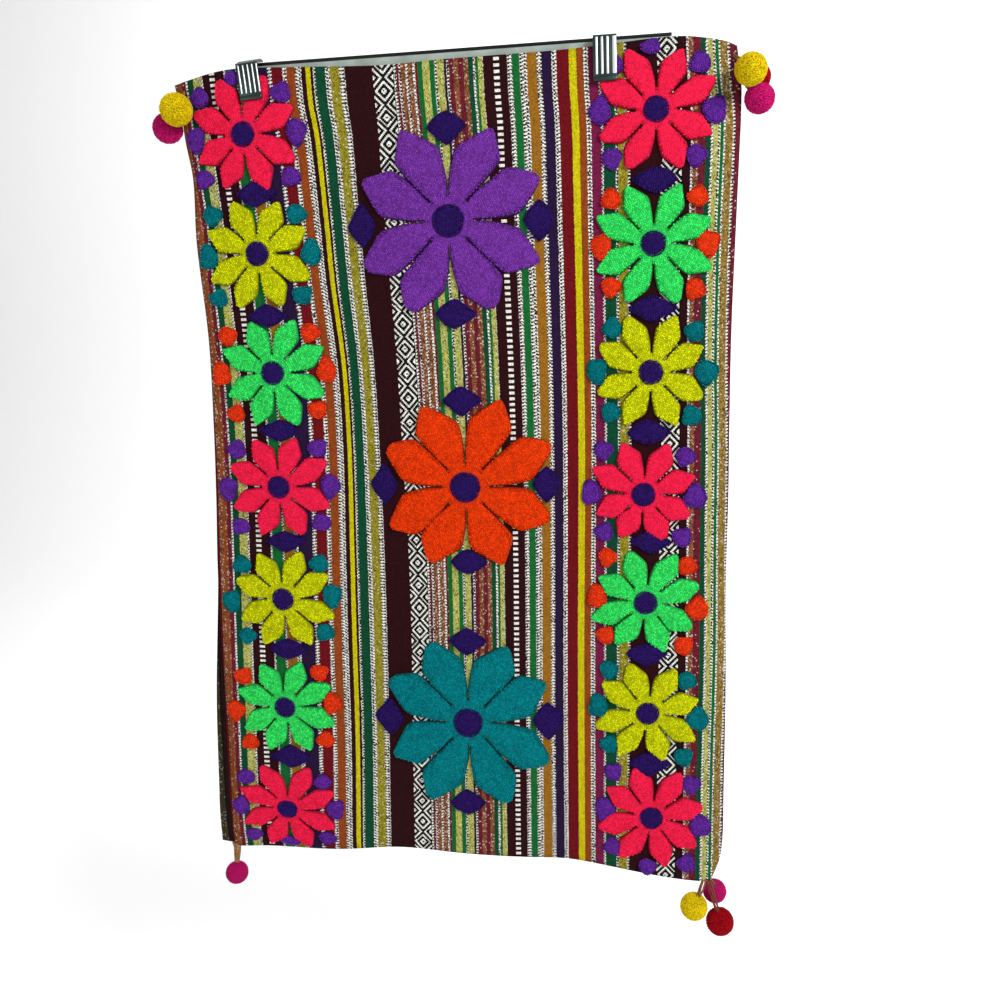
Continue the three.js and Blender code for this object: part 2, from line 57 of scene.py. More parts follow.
# Outline of the hung cover: side edges at heights z, then its ends at places x
SIDES = table(
    "z left right",
    (-10, -248, 248),
    (-35, -243.5, 252),
    (-60, -241.5, 252.5),
    (-95, -236.5, 251.5),
    (-150, -237, 250),
    (-240, -232.5, 248),
    (-320, -234, 248),
    (-390, -237, 248.5),
    (-470, -241.5, 248),
    (-570, -243.5, 250),
    (-670, -243.5, 250),
    (-735, -246.5, 248),
    (-765, -248, 238),
)
ENDS = table(
    "x top bottom",
    (-258, -20.5, -765.5),
    (-246, -17.5, -765.5),
    (-215, -11, -764.5),
    (-187, -8.5, -764),
    (-113, -10.5, -760.5),
    (-55, -12, -755),
    (0, -9.8, -757.5),
    (90, -7.8, -761),
    (127, -6, -764),
    (149, -4.4, -766),
    (175, -2.4, -769),
    (200, -1.6, -772),
    (221, -3.6, -774),
    (238, -6.6, -775),
    (252, -12.5, -775.5),
)

# Form of the hung cloth: a slack belly, soft troughs, corners and hem
BELLY = dict(forward=6, half_width=260, drop=130)
TROUGHS = [
    dict(x=-100, lean=-0.02, depth=6, width=40),
    dict(x=106, lean=0.012, depth=4.5, width=40),
    dict(x=-214, lean=-0.03, depth=3, width=34),
]
LEFT_CORNER = dict(x=-180, reach=66, back=7, drop=190)
RIGHT_CORNER = dict(x=205, reach=48, back=4, drop=150)
HEM_CURL = dict(z=-712, reach=50, x=-90, side=90, back=5)
LOW_CORNER = dict(z=-640, reach=140, x=90, side=130, forward=9)
EDGE_ROLL = dict(reach=9, back=1.5)
BACK_PEEK = dict(z=-430, reach=260, out=16.5, slope=0.25, wrap=9)

# How far the stripes are drawn sideways at heights z, on five lines down the cloth
SWAY_LINES = dict(left=-240, flank=-110, band=-56, fold=115, right=249)
SWAY = table(
    "z left flank band fold right",
    (-10, -6, -13.3, -9.2, -3.3, -6),
    (-40, -3, -12.4, -7.8, -2.6, -3.5),
    (-68, -1, -8.4, -5.5, -1, 0),
    (-139, 6, -4.2, -3, 0.1, -1.5),
    (-195, 8, -1.4, -0.2, 1, -2.5),
    (-271, 10.7, 5.2, 3.2, 2, -2.5),
    (-350, 10.5, 6.3, 4.9, 2.4, -0.5),
    (-449, 6.5, 3.6, 6.7, 1.5, 0.5),
    (-537, 2.5, 1.3, 6, 0.5, 2),
    (-641, -1.5, -0.8, 3, 0.1, 1.5),
    (-755, -4.5, -5.6, 0.4, 0.2, 0.5),
)

# Yarn colours as sRGB bytes
YARNS = dict(
    pink=(252, 34, 78),
    yellow=(212, 218, 8),
    green=(58, 234, 106),
    purple=(128, 58, 172),
    orange=(255, 66, 6),
    teal=(0, 136, 144),
    indigo=(46, 22, 100),
    dot_purple=(104, 44, 160),
    dot_teal=(0, 124, 132),
    dot_orange=(250, 62, 20),
    sun=(240, 204, 14),
    magenta=(206, 24, 112),
    crimson=(170, 8, 24),
)
YARN_DARK = dict(pink=0.54)
CLOTH_YARNS = dict(
    maroon=(40, 9, 14),
    wine=(98, 26, 40),
    red=(100, 13, 21),
    rust=(134, 62, 22),
    ochre=(140, 94, 24),
    olive=(140, 130, 32),
    yellow=(188, 178, 10),
    forest=(10, 66, 42),
    green=(18, 94, 42),
    navy=(36, 18, 52),
    plum=(108, 24, 62),
    brown=(132, 78, 46),
    straw=(166, 166, 84),
    tan=(136, 110, 48),
    moss=(66, 58, 34),
    fleck=(44, 36, 36),
    ivory=(222, 220, 212),
    black=(12, 13, 12),
)

# Stripe chart across the cloth: right-hand edge of each stripe in mm, and its yarn
STRIPES = [
    (-252, "moss"), (-250, "black"), (-247.6, "maroon"), (-245, "red"), (-241, "brown"),
    (-239, "rust"), (-236.2, "brown"), (-232.4, "wine"), (-230.4, "fleck"), (-224.6, "forest"),
    (-216, "straw"), (-214.4, "fleck"),
    (-191, "maroon"), (-188.5, "fleck"), (-180, "green"), (-177.5, "fleck"), (-166, "ochre"),
    (-163.5, "fleck"), (-149, "navy"), (-144, "fleck"), (-134, "red"), (-129, "fleck"),
    (-120.8, "rust"), (-115.4, "fleck"), (-111.8, "maroon"), (-106.8, "yellow"), (-105.4, "maroon"),
    (-103.2, "fleck"), (-95.4, "forest"), (-91.8, "fleck"), (-82.4, "olive"), (-79.2, "fleck"),
    (-55, "maroon"), (-37.6, "black"), (-35.4, "fleck"), (-33, "wine"), (-31, "fleck"),
    (-27, "brown"), (-25, "fleck"), (-22, "brown"), (-20.4, "fleck"), (-17.6, "wine"),
    (-13.8, "green"), (-12.4, "fleck"), (-7.6, "straw"), (-2.8, "green"), (-1.2, "fleck"),
    (4.6, "straw"), (8, "navy"), (9.8, "fleck"),
    (12.6, "wine"), (14.2, "fleck"), (16.8, "brown"), (18.4, "fleck"), (20.8, "wine"),
    (22.4, "fleck"), (25.6, "brown"), (29.6, "forest"), (31.2, "fleck"), (33.4, "green"),
    (37.8, "straw"), (39.3, "fleck"),
    (57.6, "maroon"), (62.4, "fleck"), (69.4, "green"), (74, "fleck"), (83.2, "ochre"),
    (87.7, "fleck"), (95.5, "navy"), (100.2, "fleck"), (108.6, "red"), (110.2, "fleck"),
    (116.4, "yellow"), (121.6, "rust"), (126, "fleck"), (134, "plum"), (136.6, "fleck"),
    (145.8, "forest"), (148.6, "fleck"), (157, "olive"), (159, "fleck"), (185.4, "maroon"),
    (203.8, "black"), (209.2, "maroon"), (211, "fleck"), (216.2, "brown"), (221.4, "wine"),
    (222.4, "fleck"), (226.6, "forest"), (228, "fleck"), (232.6, "straw"), (233.6, "fleck"),
    (238, "green"), (239.2, "fleck"), (244.2, "tan"), (246, "fleck"), (262, "wine"),
]
CHART_LEFT = -262.0
FRONT_GRID = (112, 144)
BACK_GRID = (64, 84)
FLECKED = dict(fleck=1.0, brown=0.6, tan=0.4, straw=0.35, moss=0.3, olive=0.25, wine=0.15)
DIAMOND_BANDS = dict(
    centres=(-46.3, 194.6), half=8.7, repeat=22.3, wide=8, tall=8.6, ring=0.655, phase=0.19, white=0.38,
)
FLOATS = dict(pitch=1.7, repeat=3.0, bright=0.72, dim=0.42, stagger=7.0)
RAGGED = 0.5
LADDERS = [
    dict(centre=-202.8, half=2.8, repeat=4.9, dash=0.5),
    dict(centre=50.3, half=2.4, repeat=5.2, dash=0.5),
]
TWILL = dict(across=2.2, down=2.6)
WARP_PITCH = 1.1
WEFT_PITCH = 1.2
# Chance and strength of dark and pale flecks, chance of a lost float, and what the tone is made of
FLECKS = dict(border=0.9, dark=0.5, dark_share=0.6, pale=0.2, pale_share=0.45, lost=0.12)
TONE = dict(base=0.47, slub=0.5, grain=0.5, twill=0.13)
SLUB_SCALE = (700.0, 35.0, 1.0)
PILE_DARK = 0.42
PILE_LIGHT = 1.28

# Embroidery
PILE_GAP = 0.25
PETALS = 8
# Petal outline in shares of the flower's radius: each side widens to its turn, then narrows to the tip
SMALL = dict(
    radius=52, eye=11.1, root=0.33, slot=2.0, pair=0.04,
    axis=dict(turn=0.7, half=0.237), diagonal=dict(turn=0.71, half=0.222),
)
LARGE = dict(
    radius=86, eye=14.4, root=0.26, slot=2.4, pair=0.055,
    axis=dict(turn=0.68, half=0.25), diagonal=dict(turn=0.757, half=0.223),
)
PETAL_TIP = 0.042
PETAL_ROUND = 0.022
PETAL_BOW = 0.68
PETAL_EDGE = 2.3
PETAL_CREST = 3.2
EYE_CREST = 4.9
PETAL_SKEW = 0.03
PETAL_BLUNT = 0.025
PETAL_TURN = 0.03
PETAL_STRETCH = 0.04
# Shares of the radius where a petal grows free, where its top falls and where its tip is rounded
PETAL_FREE = 0.6
PETAL_FALL = 0.93
PETAL_END = 0.96
PETAL_SINK = 0.45
PETAL_WAVE = dict(out=0.5, turns=9)
KNOT = dict(pitch=1.88, half_length=1.2, half_width=0.86, height=1.5, sunk=0.6, stray=0.14)
# Flowers: middle, then share of its height, turn in degrees, growth and upward reach of its petals
PLAIN_FLOWER = dict(tall=1, turn=0, grow=1, lift=0, size=SMALL)
FLOWERS = [dict(PLAIN_FLOWER, **row) for row in (
    dict(name="left_1", x=-183.2, z=-64.5, yarn="pink"),
    dict(name="left_2", x=-176.8, z=-168.2, yarn="yellow"),
    dict(name="left_3", x=-169.7, z=-276, yarn="green"),
    dict(name="left_4", x=-171.2, z=-383.7, turn=1, yarn="pink"),
    dict(name="left_5", x=-174.5, z=-494.5, turn=2, yarn="yellow"),
    dict(name="left_6", x=-180, z=-606.5, tall=0.97, turn=4, yarn="green"),
    dict(name="left_7", x=-185, z=-717, tall=0.88, turn=-1, grow=1.05, lift=0.06, yarn="pink"),
    dict(name="right_1", x=181, z=-59.5, grow=1.03, yarn="pink"),
    dict(name="right_2", x=179.5, z=-170, grow=1.03, yarn="green"),
    dict(name="right_3", x=178, z=-281, turn=-1, yarn="yellow"),
    dict(name="right_4", x=172, z=-391.5, turn=-3, grow=0.96, lift=0.05, yarn="pink"),
    dict(name="right_5", x=174.5, z=-494, turn=-6, yarn="green"),
    dict(name="right_6", x=177, z=-603.5, turn=-7, yarn="yellow"),
    dict(name="right_7", x=181, z=-709.5, turn=-8, yarn="pink"),
    dict(name="middle_1", x=0.5, z=-145.4, grow=1.03, size=LARGE, yarn="purple"),
    dict(name="middle_2", x=8.5, z=-383.6, grow=0.975, lift=0.04, size=LARGE, yarn="orange"),
    dict(name="middle_3", x=4.6, z=-616, tall=1.05, size=LARGE, yarn="teal"),
)]


def linear(rgb):
    """sRGB bytes as a linear colour with alpha."""
    shares = [c / 255 for c in rgb]
    return [s / 12.92 if s <= 0.04045 else ((s + 0.055) / 1.055) ** 2.4 for s in shares] + [1.0]


def ease(t):
    t = np.clip(t, 0, 1)
    return t * t * (3 - 2 * t)


def uneven(seed):
    """Even, repeatable unevenness between -1 and 1 for hand work."""
    wave = math.sin(seed * 12.9898) * 43758.5453
    return 2 * (wave - math.floor(wave)) - 1


def through(table, key, column, at):
    """A named column of a table, read along a smooth curve through its rows."""
    rows = sorted(table, key=lambda row: row[key])
    keys = np.array([row[key] for row in rows], float)
    values = np.array([row[column] for row in rows], float)
    n = len(rows)
    before = np.maximum(np.arange(n) - 1, 0)
    after = np.minimum(np.arange(n) + 1, n - 1)
    slopes = (values[after] - values[before]) / (keys[after] - keys[before])
    at = np.asarray(at, float)
    i = np.clip(np.searchsorted(keys, at, side="left") - 1, 0, n - 2)
    span = keys[i + 1] - keys[i]
    t = np.clip((at - keys[i]) / span, 0, 1)
    bow = (slopes[i] * (1 - t) - slopes[i + 1] * t) * span * t * (1 - t)
    return values[i] + (values[i + 1] - values[i]) * ease(t) + bow


def left_edge(z):
    return through(SIDES, "z", "left", z)


def right_edge(z):
    return through(SIDES, "z", "right", z)


def top_edge(x):
    return through(ENDS, "x", "top", x)


def bottom_edge(x):
    return through(ENDS, "x", "bottom", x)


def front_depth(x, z):
    """Depth y of the cover's front face, as the solids have it."""
    slack = ease((COVER_TOP - z) / BELLY["drop"])
    middle = (COVER_TOP + COVER_BOTTOM) / 2
    y = -BELLY["forward"] * np.cos(np.pi * x / (2 * BELLY["half_width"])) * slack
    for trough in TROUGHS:
        off = (x - trough["x"] - trough["lean"] * (z - middle)) / trough["width"]
        y = y + trough["depth"] * np.exp(-off * off) * slack
    left_up = 1 - ease(-z / LEFT_CORNER["drop"])
    y = y + LEFT_CORNER["back"] * ease((LEFT_CORNER["x"] - x) / LEFT_CORNER["reach"]) * left_up
    right_up = 1 - ease(-z / RIGHT_CORNER["drop"])
    y = y + RIGHT_CORNER["back"] * ease((x - RIGHT_CORNER["x"]) / RIGHT_CORNER["reach"]) * right_up
    curl = np.clip((HEM_CURL["z"] - z) / HEM_CURL["reach"], 0, 1) ** 2
    y = y + HEM_CURL["back"] * curl * ease((HEM_CURL["x"] - x) / HEM_CURL["side"])
    low = ease((LOW_CORNER["z"] - z) / LOW_CORNER["reach"])
    y = y - LOW_CORNER["forward"] * low * ease((x - LOW_CORNER["x"]) / LOW_CORNER["side"])
    roll = np.clip((left_edge(z) + EDGE_ROLL["reach"] - x) / EDGE_ROLL["reach"], 0, 1)
    return y + EDGE_ROLL["back"] * roll * roll


def sway(u, z):
    """Sideways draw of the stripe that lies at u on the flat cloth."""
    lines = list(SWAY_LINES)
    places = np.array([SWAY_LINES[line] for line in lines], float)
    draws = np.stack([through(SWAY, "z", line, z) for line in lines])
    i = np.clip(np.searchsorted(places, u) - 1, 0, len(lines) - 2)
    t = np.clip((u - places[i]) / (places[i + 1] - places[i]), 0, 1)
    pick = np.arange(len(np.atleast_1d(u)))
    return draws[i, pick] * (1 - t) + draws[i + 1, pick] * t


def flat_place(x, z):
    """Place (u, v) on the flat cloth, in mm, of a point of the hung cover."""
    u = np.array(x, float)
    for _ in range(5):
        u = x - sway(u, z)
    return u, -np.asarray(z, float)


def to_scene(x, y, z):
    return np.stack([x, y - RAIL_DEPTH, z], axis=-1) * MM


def deselect():
    bpy.ops.object.select_all(action="DESELECT")


def dress(piece, material):
    piece.data.materials.clear()
    piece.data.materials.append(material)


def place_in_frame(piece, slot, *nodes):
    """Gives a piece its body and hides the solids that it stands for."""
    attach(piece, "root")
    if nodes:
        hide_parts(*nodes)
    return piece


def keep(piece, slot, material, *nodes):
    dress(piece, material)
    return place_in_frame(piece, slot, *nodes)


def put_points(piece, points):
    piece.data.vertices.foreach_set("co", np.ascontiguousarray(points, np.float32).ravel())
    piece.data.update()


def read_points(piece):
    points = np.empty(len(piece.data.vertices) * 3, np.float32)
    piece.data.vertices.foreach_get("co", points)
    return points.reshape(-1, 3)


def flat_grid(name, columns, rows):
    """A fresh grid from -1 to 1 both ways, to be moved into shape."""
    deselect()
    bpy.ops.mesh.primitive_grid_add(x_subdivisions=columns, y_subdivisions=rows, size=2)
    grid = bpy.context.object
    grid.name = name
    grid.data.name = name
    return grid


def array_mesh(name, points, faces, tones=None):
    """One mesh from arrays of points and of faces, with a tone for each point."""
    mesh = bpy.data.meshes.new(name)
    mesh.from_pydata(points.tolist(), [], faces)
    mesh.update()
    if tones is not None:
        mesh.attributes.new("tone", "FLOAT", "POINT").data.foreach_set("value", tones.astype(np.float32))
    piece = bpy.data.objects.new(name, mesh)
    bpy.context.collection.objects.link(piece)
    return piece


def smooth(piece):
    piece.data.polygons.foreach_set("use_smooth", [True] * len(piece.data.polygons))


def select_only(piece):
    deselect()
    piece.select_set(True)
    bpy.context.view_layer.objects.active = piece


def apply(piece, kind, **settings):
    modifier = piece.modifiers.new(kind.title(), kind)
    for key, value in settings.items():
        setattr(modifier, key, value)
    select_only(piece)
    bpy.ops.object.modifier_apply(modifier=modifier.name)


def joined(name, pieces):
    deselect()
    for piece in pieces:
        piece.select_set(True)
    bpy.context.view_layer.objects.active = pieces[0]
    if len(pieces) > 1:
        bpy.ops.object.join()
    whole = bpy.context.object
    whole.name = name
    whole.data.name = name
    return whole


# Materials

class Nodes:
    """A material's node tree, with short calls for adding and linking nodes."""

    def __init__(self, name):
        self.material = bpy.data.materials.new(name)
        self.material.use_nodes = True
        self.tree = self.material.node_tree
        self.shader = self.tree.nodes["Principled BSDF"]

    def add(self, kind, inputs=None, **settings):
        node = self.tree.nodes.new("ShaderNode" + kind)
        for key, value in settings.items():
            setattr(node, key, value)
        for key, value in (inputs or {}).items():
            self.give(node.inputs[key], value)
        return node

    def give(self, socket, value):
        if isinstance(value, bpy.types.NodeSocket):
            self.tree.links.new(value, socket)
        else:
            socket.default_value = value

    def math(self, operation, a, b=0.0, c=0.0):
        node = self.add("Math", {0: a, 1: b, 2: c}, operation=operation)
        return node.outputs[0]

    def times(self, a, b, plus=None):
        if plus is None:
            return self.math("MULTIPLY", a, b)
        return self.math("MULTIPLY_ADD", a, b, plus)

    def below(self, a, limit):
        """1 where a lies below the limit, else 0."""
        return self.math("LESS_THAN", a, limit)

    def away(self, at, centre):
        return self.math("ABSOLUTE", self.math("SUBTRACT", at, centre))

    def cell(self, at, pitch):
        return self.math("FLOOR", self.math("DIVIDE", at, pitch))

    def cycle(self, at, repeat):
        """Share of a repeat that is done at a place."""
        return self.math("FRACT", self.math("DIVIDE", at, repeat))

    def solid_place(self):
        return self.add("TexCoord").outputs["Object"]

    def tone(self):
        return self.add("Attribute", attribute_name="tone").outputs["Fac"]

    def mix(self, share, a, b, blend="MIX"):
        node = self.add("Mix", data_type="RGBA", blend_type=blend)
        self.give(node.inputs["Factor"], share)
        self.give(node.inputs["A"], a)
        self.give(node.inputs["B"], b)
        return node.outputs["Result"]

    def ramp(self, at, stops, interpolation="CONSTANT"):
        node = self.add("ValToRGB", {"Fac": at})
        node.color_ramp.interpolation = interpolation
        elements = node.color_ramp.elements
        elements[0].position, elements[0].color = stops[0]
        elements[1].position, elements[1].color = stops[-1]
        for place, colour in stops[1:-1]:
            elements.new(place).color = colour
        return node

    def noise(self, vector, scale, detail=2.0):
        node = self.add("TexNoise", {"Vector": vector, "Scale": scale, "Detail": detail})
        return node.outputs["Fac"]

    def per_thread(self, warp, weft, layer):
        """A chance value from 0 to 1 for each crossing of warp and weft."""
        thread = self.add("CombineXYZ", {"X": warp, "Y": weft, "Z": layer}).outputs["Vector"]
        return self.add("TexWhiteNoise", {"Vector": thread}, noise_dimensions="3D").outputs["Value"]

    def bump(self, height, strength, distance):
        node = self.add("Bump", {"Height": height, "Strength": strength, "Distance": distance})
        return node.outputs["Normal"]

    def finish(self, **sockets):
        for key, value in sockets.items():
            self.give(self.shader.inputs[key.replace("_", " ")], value)
        return self.material


def stripe_ramp(nodes, across):
    """Yarn colour, and the share of flecks as alpha, from the stripe chart."""
    span = -2 * CHART_LEFT
    starts = [CHART_LEFT] + [edge for edge, _ in STRIPES[:-1]]
    stops = []
    for start, (_, yarn) in zip(starts, STRIPES):
        colour = linear(CLOTH_YARNS[yarn])
        colour[3] = FLECKED.get(yarn, 0.0)
        stops.append(((start - CHART_LEFT) / span, colour))
    share = nodes.math("DIVIDE", nodes.math("SUBTRACT", across, CHART_LEFT), span)
    section = 31
    parts = [stops[i:i + section] for i in range(0, len(stops), section)]
    colour = alpha = None
    for part in parts:
        ramp = nodes.ramp(share, part)
        if colour is None:
            colour, alpha = ramp.outputs["Color"], ramp.outputs["Alpha"]
            continue
        past = nodes.math("GREATER_THAN", share, part[0][0])
        colour = nodes.mix(past, colour, ramp.outputs["Color"])
        fleck = nodes.math("SUBTRACT", ramp.outputs["Alpha"], alpha)
        alpha = nodes.times(fleck, past, alpha)
    return colour, alpha


def diamond_band(nodes, across, down):
    """White lines of the woven bands: nested diamonds between chevrons."""
    band = DIAMOND_BANDS
    reach = None
    for centre in band["centres"]:
        away = nodes.away(across, centre)
        reach = away if reach is None else nodes.math("MINIMUM", reach, away)
    side = nodes.math("DIVIDE", reach, band["wide"] * band["ring"])
    turn = nodes.cycle(down, band["repeat"])
    end = nodes.away(turn, 0.5)
    rings = nodes.times(end, band["repeat"] / (band["tall"] * band["ring"]), side)
    ring = nodes.math("FRACT", nodes.math("SUBTRACT", rings, band["phase"] - 1))
    white = nodes.below(ring, band["white"])
    return nodes.times(white, nodes.below(reach, band["half"]))


def ladder_lines(nodes, across, down):
    """White dashes one above the other, in each of the ladder stripes."""
    lines = 0.0
    for ladder in LADDERS:
        inside = nodes.below(nodes.away(across, ladder["centre"]), ladder["half"])
        turn = nodes.cycle(down, ladder["repeat"])
        dashes = nodes.times(inside, nodes.below(turn, ladder["dash"]))
        lines = nodes.math("MAXIMUM", dashes, lines)
    return lines


def white_threads(nodes, across, down):
    """Short white floats of the flecked borders: close on every second warp, sparse between."""
    line = nodes.cell(across, FLOATS["pitch"])
    second = nodes.below(nodes.math("MODULO", nodes.math("ABSOLUTE", line), 2.0), 0.5)
    run = nodes.math("DIVIDE", down, FLOATS["repeat"])
    start = nodes.per_thread(line, second, 4.0)
    dash = nodes.math("FRACT", nodes.times(start, FLOATS["stagger"], run))
    share = nodes.times(second, FLOATS["bright"] - FLOATS["dim"], FLOATS["dim"])
    return nodes.below(dash, share)


def striped_cloth():
    """Warp-faced handwoven cloth: charted stripes, flecked borders, thread by thread."""
    nodes = Nodes("striped_cloth")
    place = nodes.add("UVMap", uv_map="cloth").outputs["UV"]
    parts = nodes.add("SeparateXYZ", {"Vector": place})
    across = nodes.times(parts.outputs["X"], 1 / MM)
    down = nodes.times(parts.outputs["Y"], 1 / MM)
    warp = nodes.cell(across, WARP_PITCH)
    weft = nodes.cell(down, WEFT_PITCH)
    stray, grain, speck = [nodes.per_thread(warp, weft, layer) for layer in (1.0, 2.0, 3.0)]
    wander = nodes.times(nodes.math("SUBTRACT", stray, 0.5), RAGGED, across)
    colour, fleck = stripe_ramp(nodes, wander)

    border = nodes.math("GREATER_THAN", fleck, FLECKS["border"])
    inner = nodes.math("SUBTRACT", 1.0, border)
    dark = nodes.below(speck, nodes.times(fleck, FLECKS["dark"]))
    dark = nodes.times(nodes.times(dark, inner), FLECKS["dark_share"])
    colour = nodes.mix(dark, colour, linear(CLOTH_YARNS["black"]))
    pale = nodes.math("GREATER_THAN", speck, nodes.times(fleck, -FLECKS["pale"], 1.0))
    floats = nodes.times(white_threads(nodes, across, down), border)
    floats = nodes.times(floats, nodes.math("GREATER_THAN", speck, FLECKS["lost"]))
    pale = nodes.times(nodes.times(pale, inner), FLECKS["pale_share"])
    white = nodes.math("MAXIMUM", pale, floats)
    column = nodes.times(nodes.math("ADD", warp, 0.5), WARP_PITCH)
    row = nodes.times(nodes.math("ADD", weft, 0.5), WEFT_PITCH)
    figure = nodes.math("MAXIMUM", diamond_band(nodes, column, row), ladder_lines(nodes, across, down))
    colour = nodes.mix(nodes.math("MAXIMUM", white, figure), colour, linear(CLOTH_YARNS["ivory"]))

    slant = nodes.times(down, TWILL["across"] / TWILL["down"], across)
    slant = nodes.math("DIVIDE", slant, TWILL["across"])
    twill = nodes.math("SINE", nodes.times(slant, 2 * math.pi))
    slub = nodes.add("Mapping", {"Vector": place, "Scale": SLUB_SCALE}).outputs["Vector"]
    tone = nodes.times(nodes.noise(slub, 1.0), TONE["slub"], TONE["base"])
    tone = nodes.times(grain, TONE["grain"], tone)
    tone = nodes.times(twill, TONE["twill"], tone)
    shade = nodes.add("CombineColor", {0: tone, 1: tone, 2: tone}).outputs[0]
    colour = nodes.mix(1.0, colour, shade, "MULTIPLY")
    rib = nodes.math("SINE", nodes.times(across, 2 * math.pi / WARP_PITCH))
    pick = nodes.math("SINE", nodes.times(down, 2 * math.pi / WEFT_PITCH))
    height = nodes.math("ADD", nodes.times(rib, pick), grain)
    return nodes.finish(
        Base_Color=colour,
        Roughness=0.95,
        Specular_IOR_Level=0.08,
        Normal=nodes.bump(height, 0.6, 0.0005),
    )


def yarn_pile(name, rgb, dark):
    """Looped or cut yarn: each loop has its own tone, with fine fibres in the bump."""
    nodes = Nodes(name)
    place = nodes.solid_place()
    tone = nodes.tone()
    patch = nodes.noise(place, 140.0)
    blend = nodes.times(patch, 0.3, nodes.times(tone, 0.7))
    base = np.array(linear(rgb)[:3])
    stops = [(0.1, [*(base * dark), 1.0]), (0.9, [*np.minimum(base * PILE_LIGHT, 1.0), 1.0])]
    colour = nodes.ramp(blend, stops, "LINEAR").outputs["Color"]
    fibre = nodes.noise(place, 2600.0, 3.0)
    return nodes.finish(
        Base_Color=colour,
        Roughness=0.95,
        Specular_IOR_Level=0.08,
        Normal=nodes.bump(fibre, 0.35, 0.0004),
    )


def steel(name, rgb, roughness):
    nodes = Nodes(name)
    place = nodes.solid_place()
    brushed = nodes.add("Mapping", {"Vector": place, "Scale": (900.0, 900.0, 60.0)}).outputs["Vector"]
    grain = nodes.noise(brushed, 1.0, 3.0)
    rough = nodes.times(grain, 0.16, roughness)
    return nodes.finish(
        Base_Color=linear(rgb),
        Metallic=1.0,
        Roughness=rough,
        Normal=nodes.bump(grain, 0.08, 0.0002),
    )


def bar_plastic():
    nodes = Nodes("bar_plastic")
    place = nodes.solid_place()
    cloud = nodes.noise(place, 45.0, 4.0)
    stops = [(0.3, linear((122, 132, 125))), (0.7, linear((154, 164, 157)))]
    colour = nodes.ramp(cloud, stops, "LINEAR").outputs["Color"]
    rough = nodes.times(cloud, 0.2, 0.25)
    return nodes.finish(Base_Color=colour, Roughness=rough)


def string_yarn():
    nodes = Nodes("string_yarn")
    place = nodes.solid_place()
    twist = nodes.noise(place, 900.0)
    stops = [(0.35, linear((52, 28, 14))), (0.65, linear((168, 116, 58)))]
    colour = nodes.ramp(twist, stops, "LINEAR").outputs["Color"]
    dyed = nodes.tone()
    colour = nodes.mix(dyed, colour, linear((112, 14, 26)))
    return nodes.finish(Base_Color=colour, Roughness=0.9, Normal=nodes.bump(twist, 0.4, 0.0003))


def pale_wall(name, rgb):
    nodes = Nodes(name)
    return nodes.finish(Base_Color=linear(rgb), Roughness=0.9)


# Cloth panels

def panel(name, squares, inset, peek, gap):
    """One sheet of the cover on its hung form, with its flat place as the UV map."""
    sheet = flat_grid(name, *squares)
    grid = read_points(sheet)
    s = (grid[:, 0] + 1) / 2
    down = (1 - grid[:, 1]) / 2
    level = COVER_TOP + (COVER_BOTTOM - COVER_TOP) * down
    out = peek * ease((BACK_PEEK["z"] - level) / BACK_PEEK["reach"])
    left = left_edge(level)
    x = left + (right_edge(level) - left) * s
    near_left = np.clip(1 - (x - left) / BACK_PEEK["wrap"], 0, 1)
    x = x - out * near_left
    top = top_edge(x) - inset
    z = top + (bottom_edge(x) + inset - top) * down
    pocket = POCKET_GAP * np.sin(np.pi * s) * np.sin(np.pi * down)
    behind = (CLOTH_THICKNESS + SEAM_GAP + pocket) if gap else 0
    y = front_depth(x, z) + behind + BACK_PEEK["slope"] * out * near_left
    put_points(sheet, to_scene(x, y + CLOTH_THICKNESS / 2, z))
    u, v = flat_place(x, z)
    corners = np.empty(len(sheet.data.loops), np.int32)
    sheet.data.loops.foreach_get("vertex_index", corners)
    layer = sheet.data.uv_layers[0]
    layer.name = "cloth"
    layer.data.foreach_set("uv", (np.stack([u, v], axis=-1)[corners] * MM).astype(np.float32).ravel())
    smooth(sheet)
    apply(sheet, "SOLIDIFY", thickness=CLOTH_THICKNESS * MM * 0.9, offset=0.0)
    return sheet


# Embroidery

def petal_sides(size, share, blunt=0.0):
    """Reach of a petal to its axis side and to its diagonal side, at shares of the flower's radius."""
    radius = size["radius"]
    tip = (PETAL_TIP + blunt) * radius
    soft = PETAL_ROUND * radius

    def side(angle, edge):
        root = size["root"] * radius * math.tan(angle) - size["slot"] / 2
        full = edge["half"] * radius + soft / 2
        grown = np.maximum((share - size["root"]) / (edge["turn"] - size["root"]), 0)
        widening = root + (full - root) * grown ** PETAL_BOW
        narrowing = full + (tip - full) * (share - edge["turn"]) / (1 - edge["turn"])
        corner = np.exp(-widening / soft) + np.exp(-narrowing / soft)
        end = np.sqrt(np.clip(1 - ((share - PETAL_END) / (1 - PETAL_END)).clip(0, 1) ** 2, 0, 1))
        return np.maximum(-soft * np.log(corner), 0.2) * end

    half = math.pi / PETALS
    return side(half + size["pair"], size["axis"]), side(half - size["pair"], size["diagonal"])


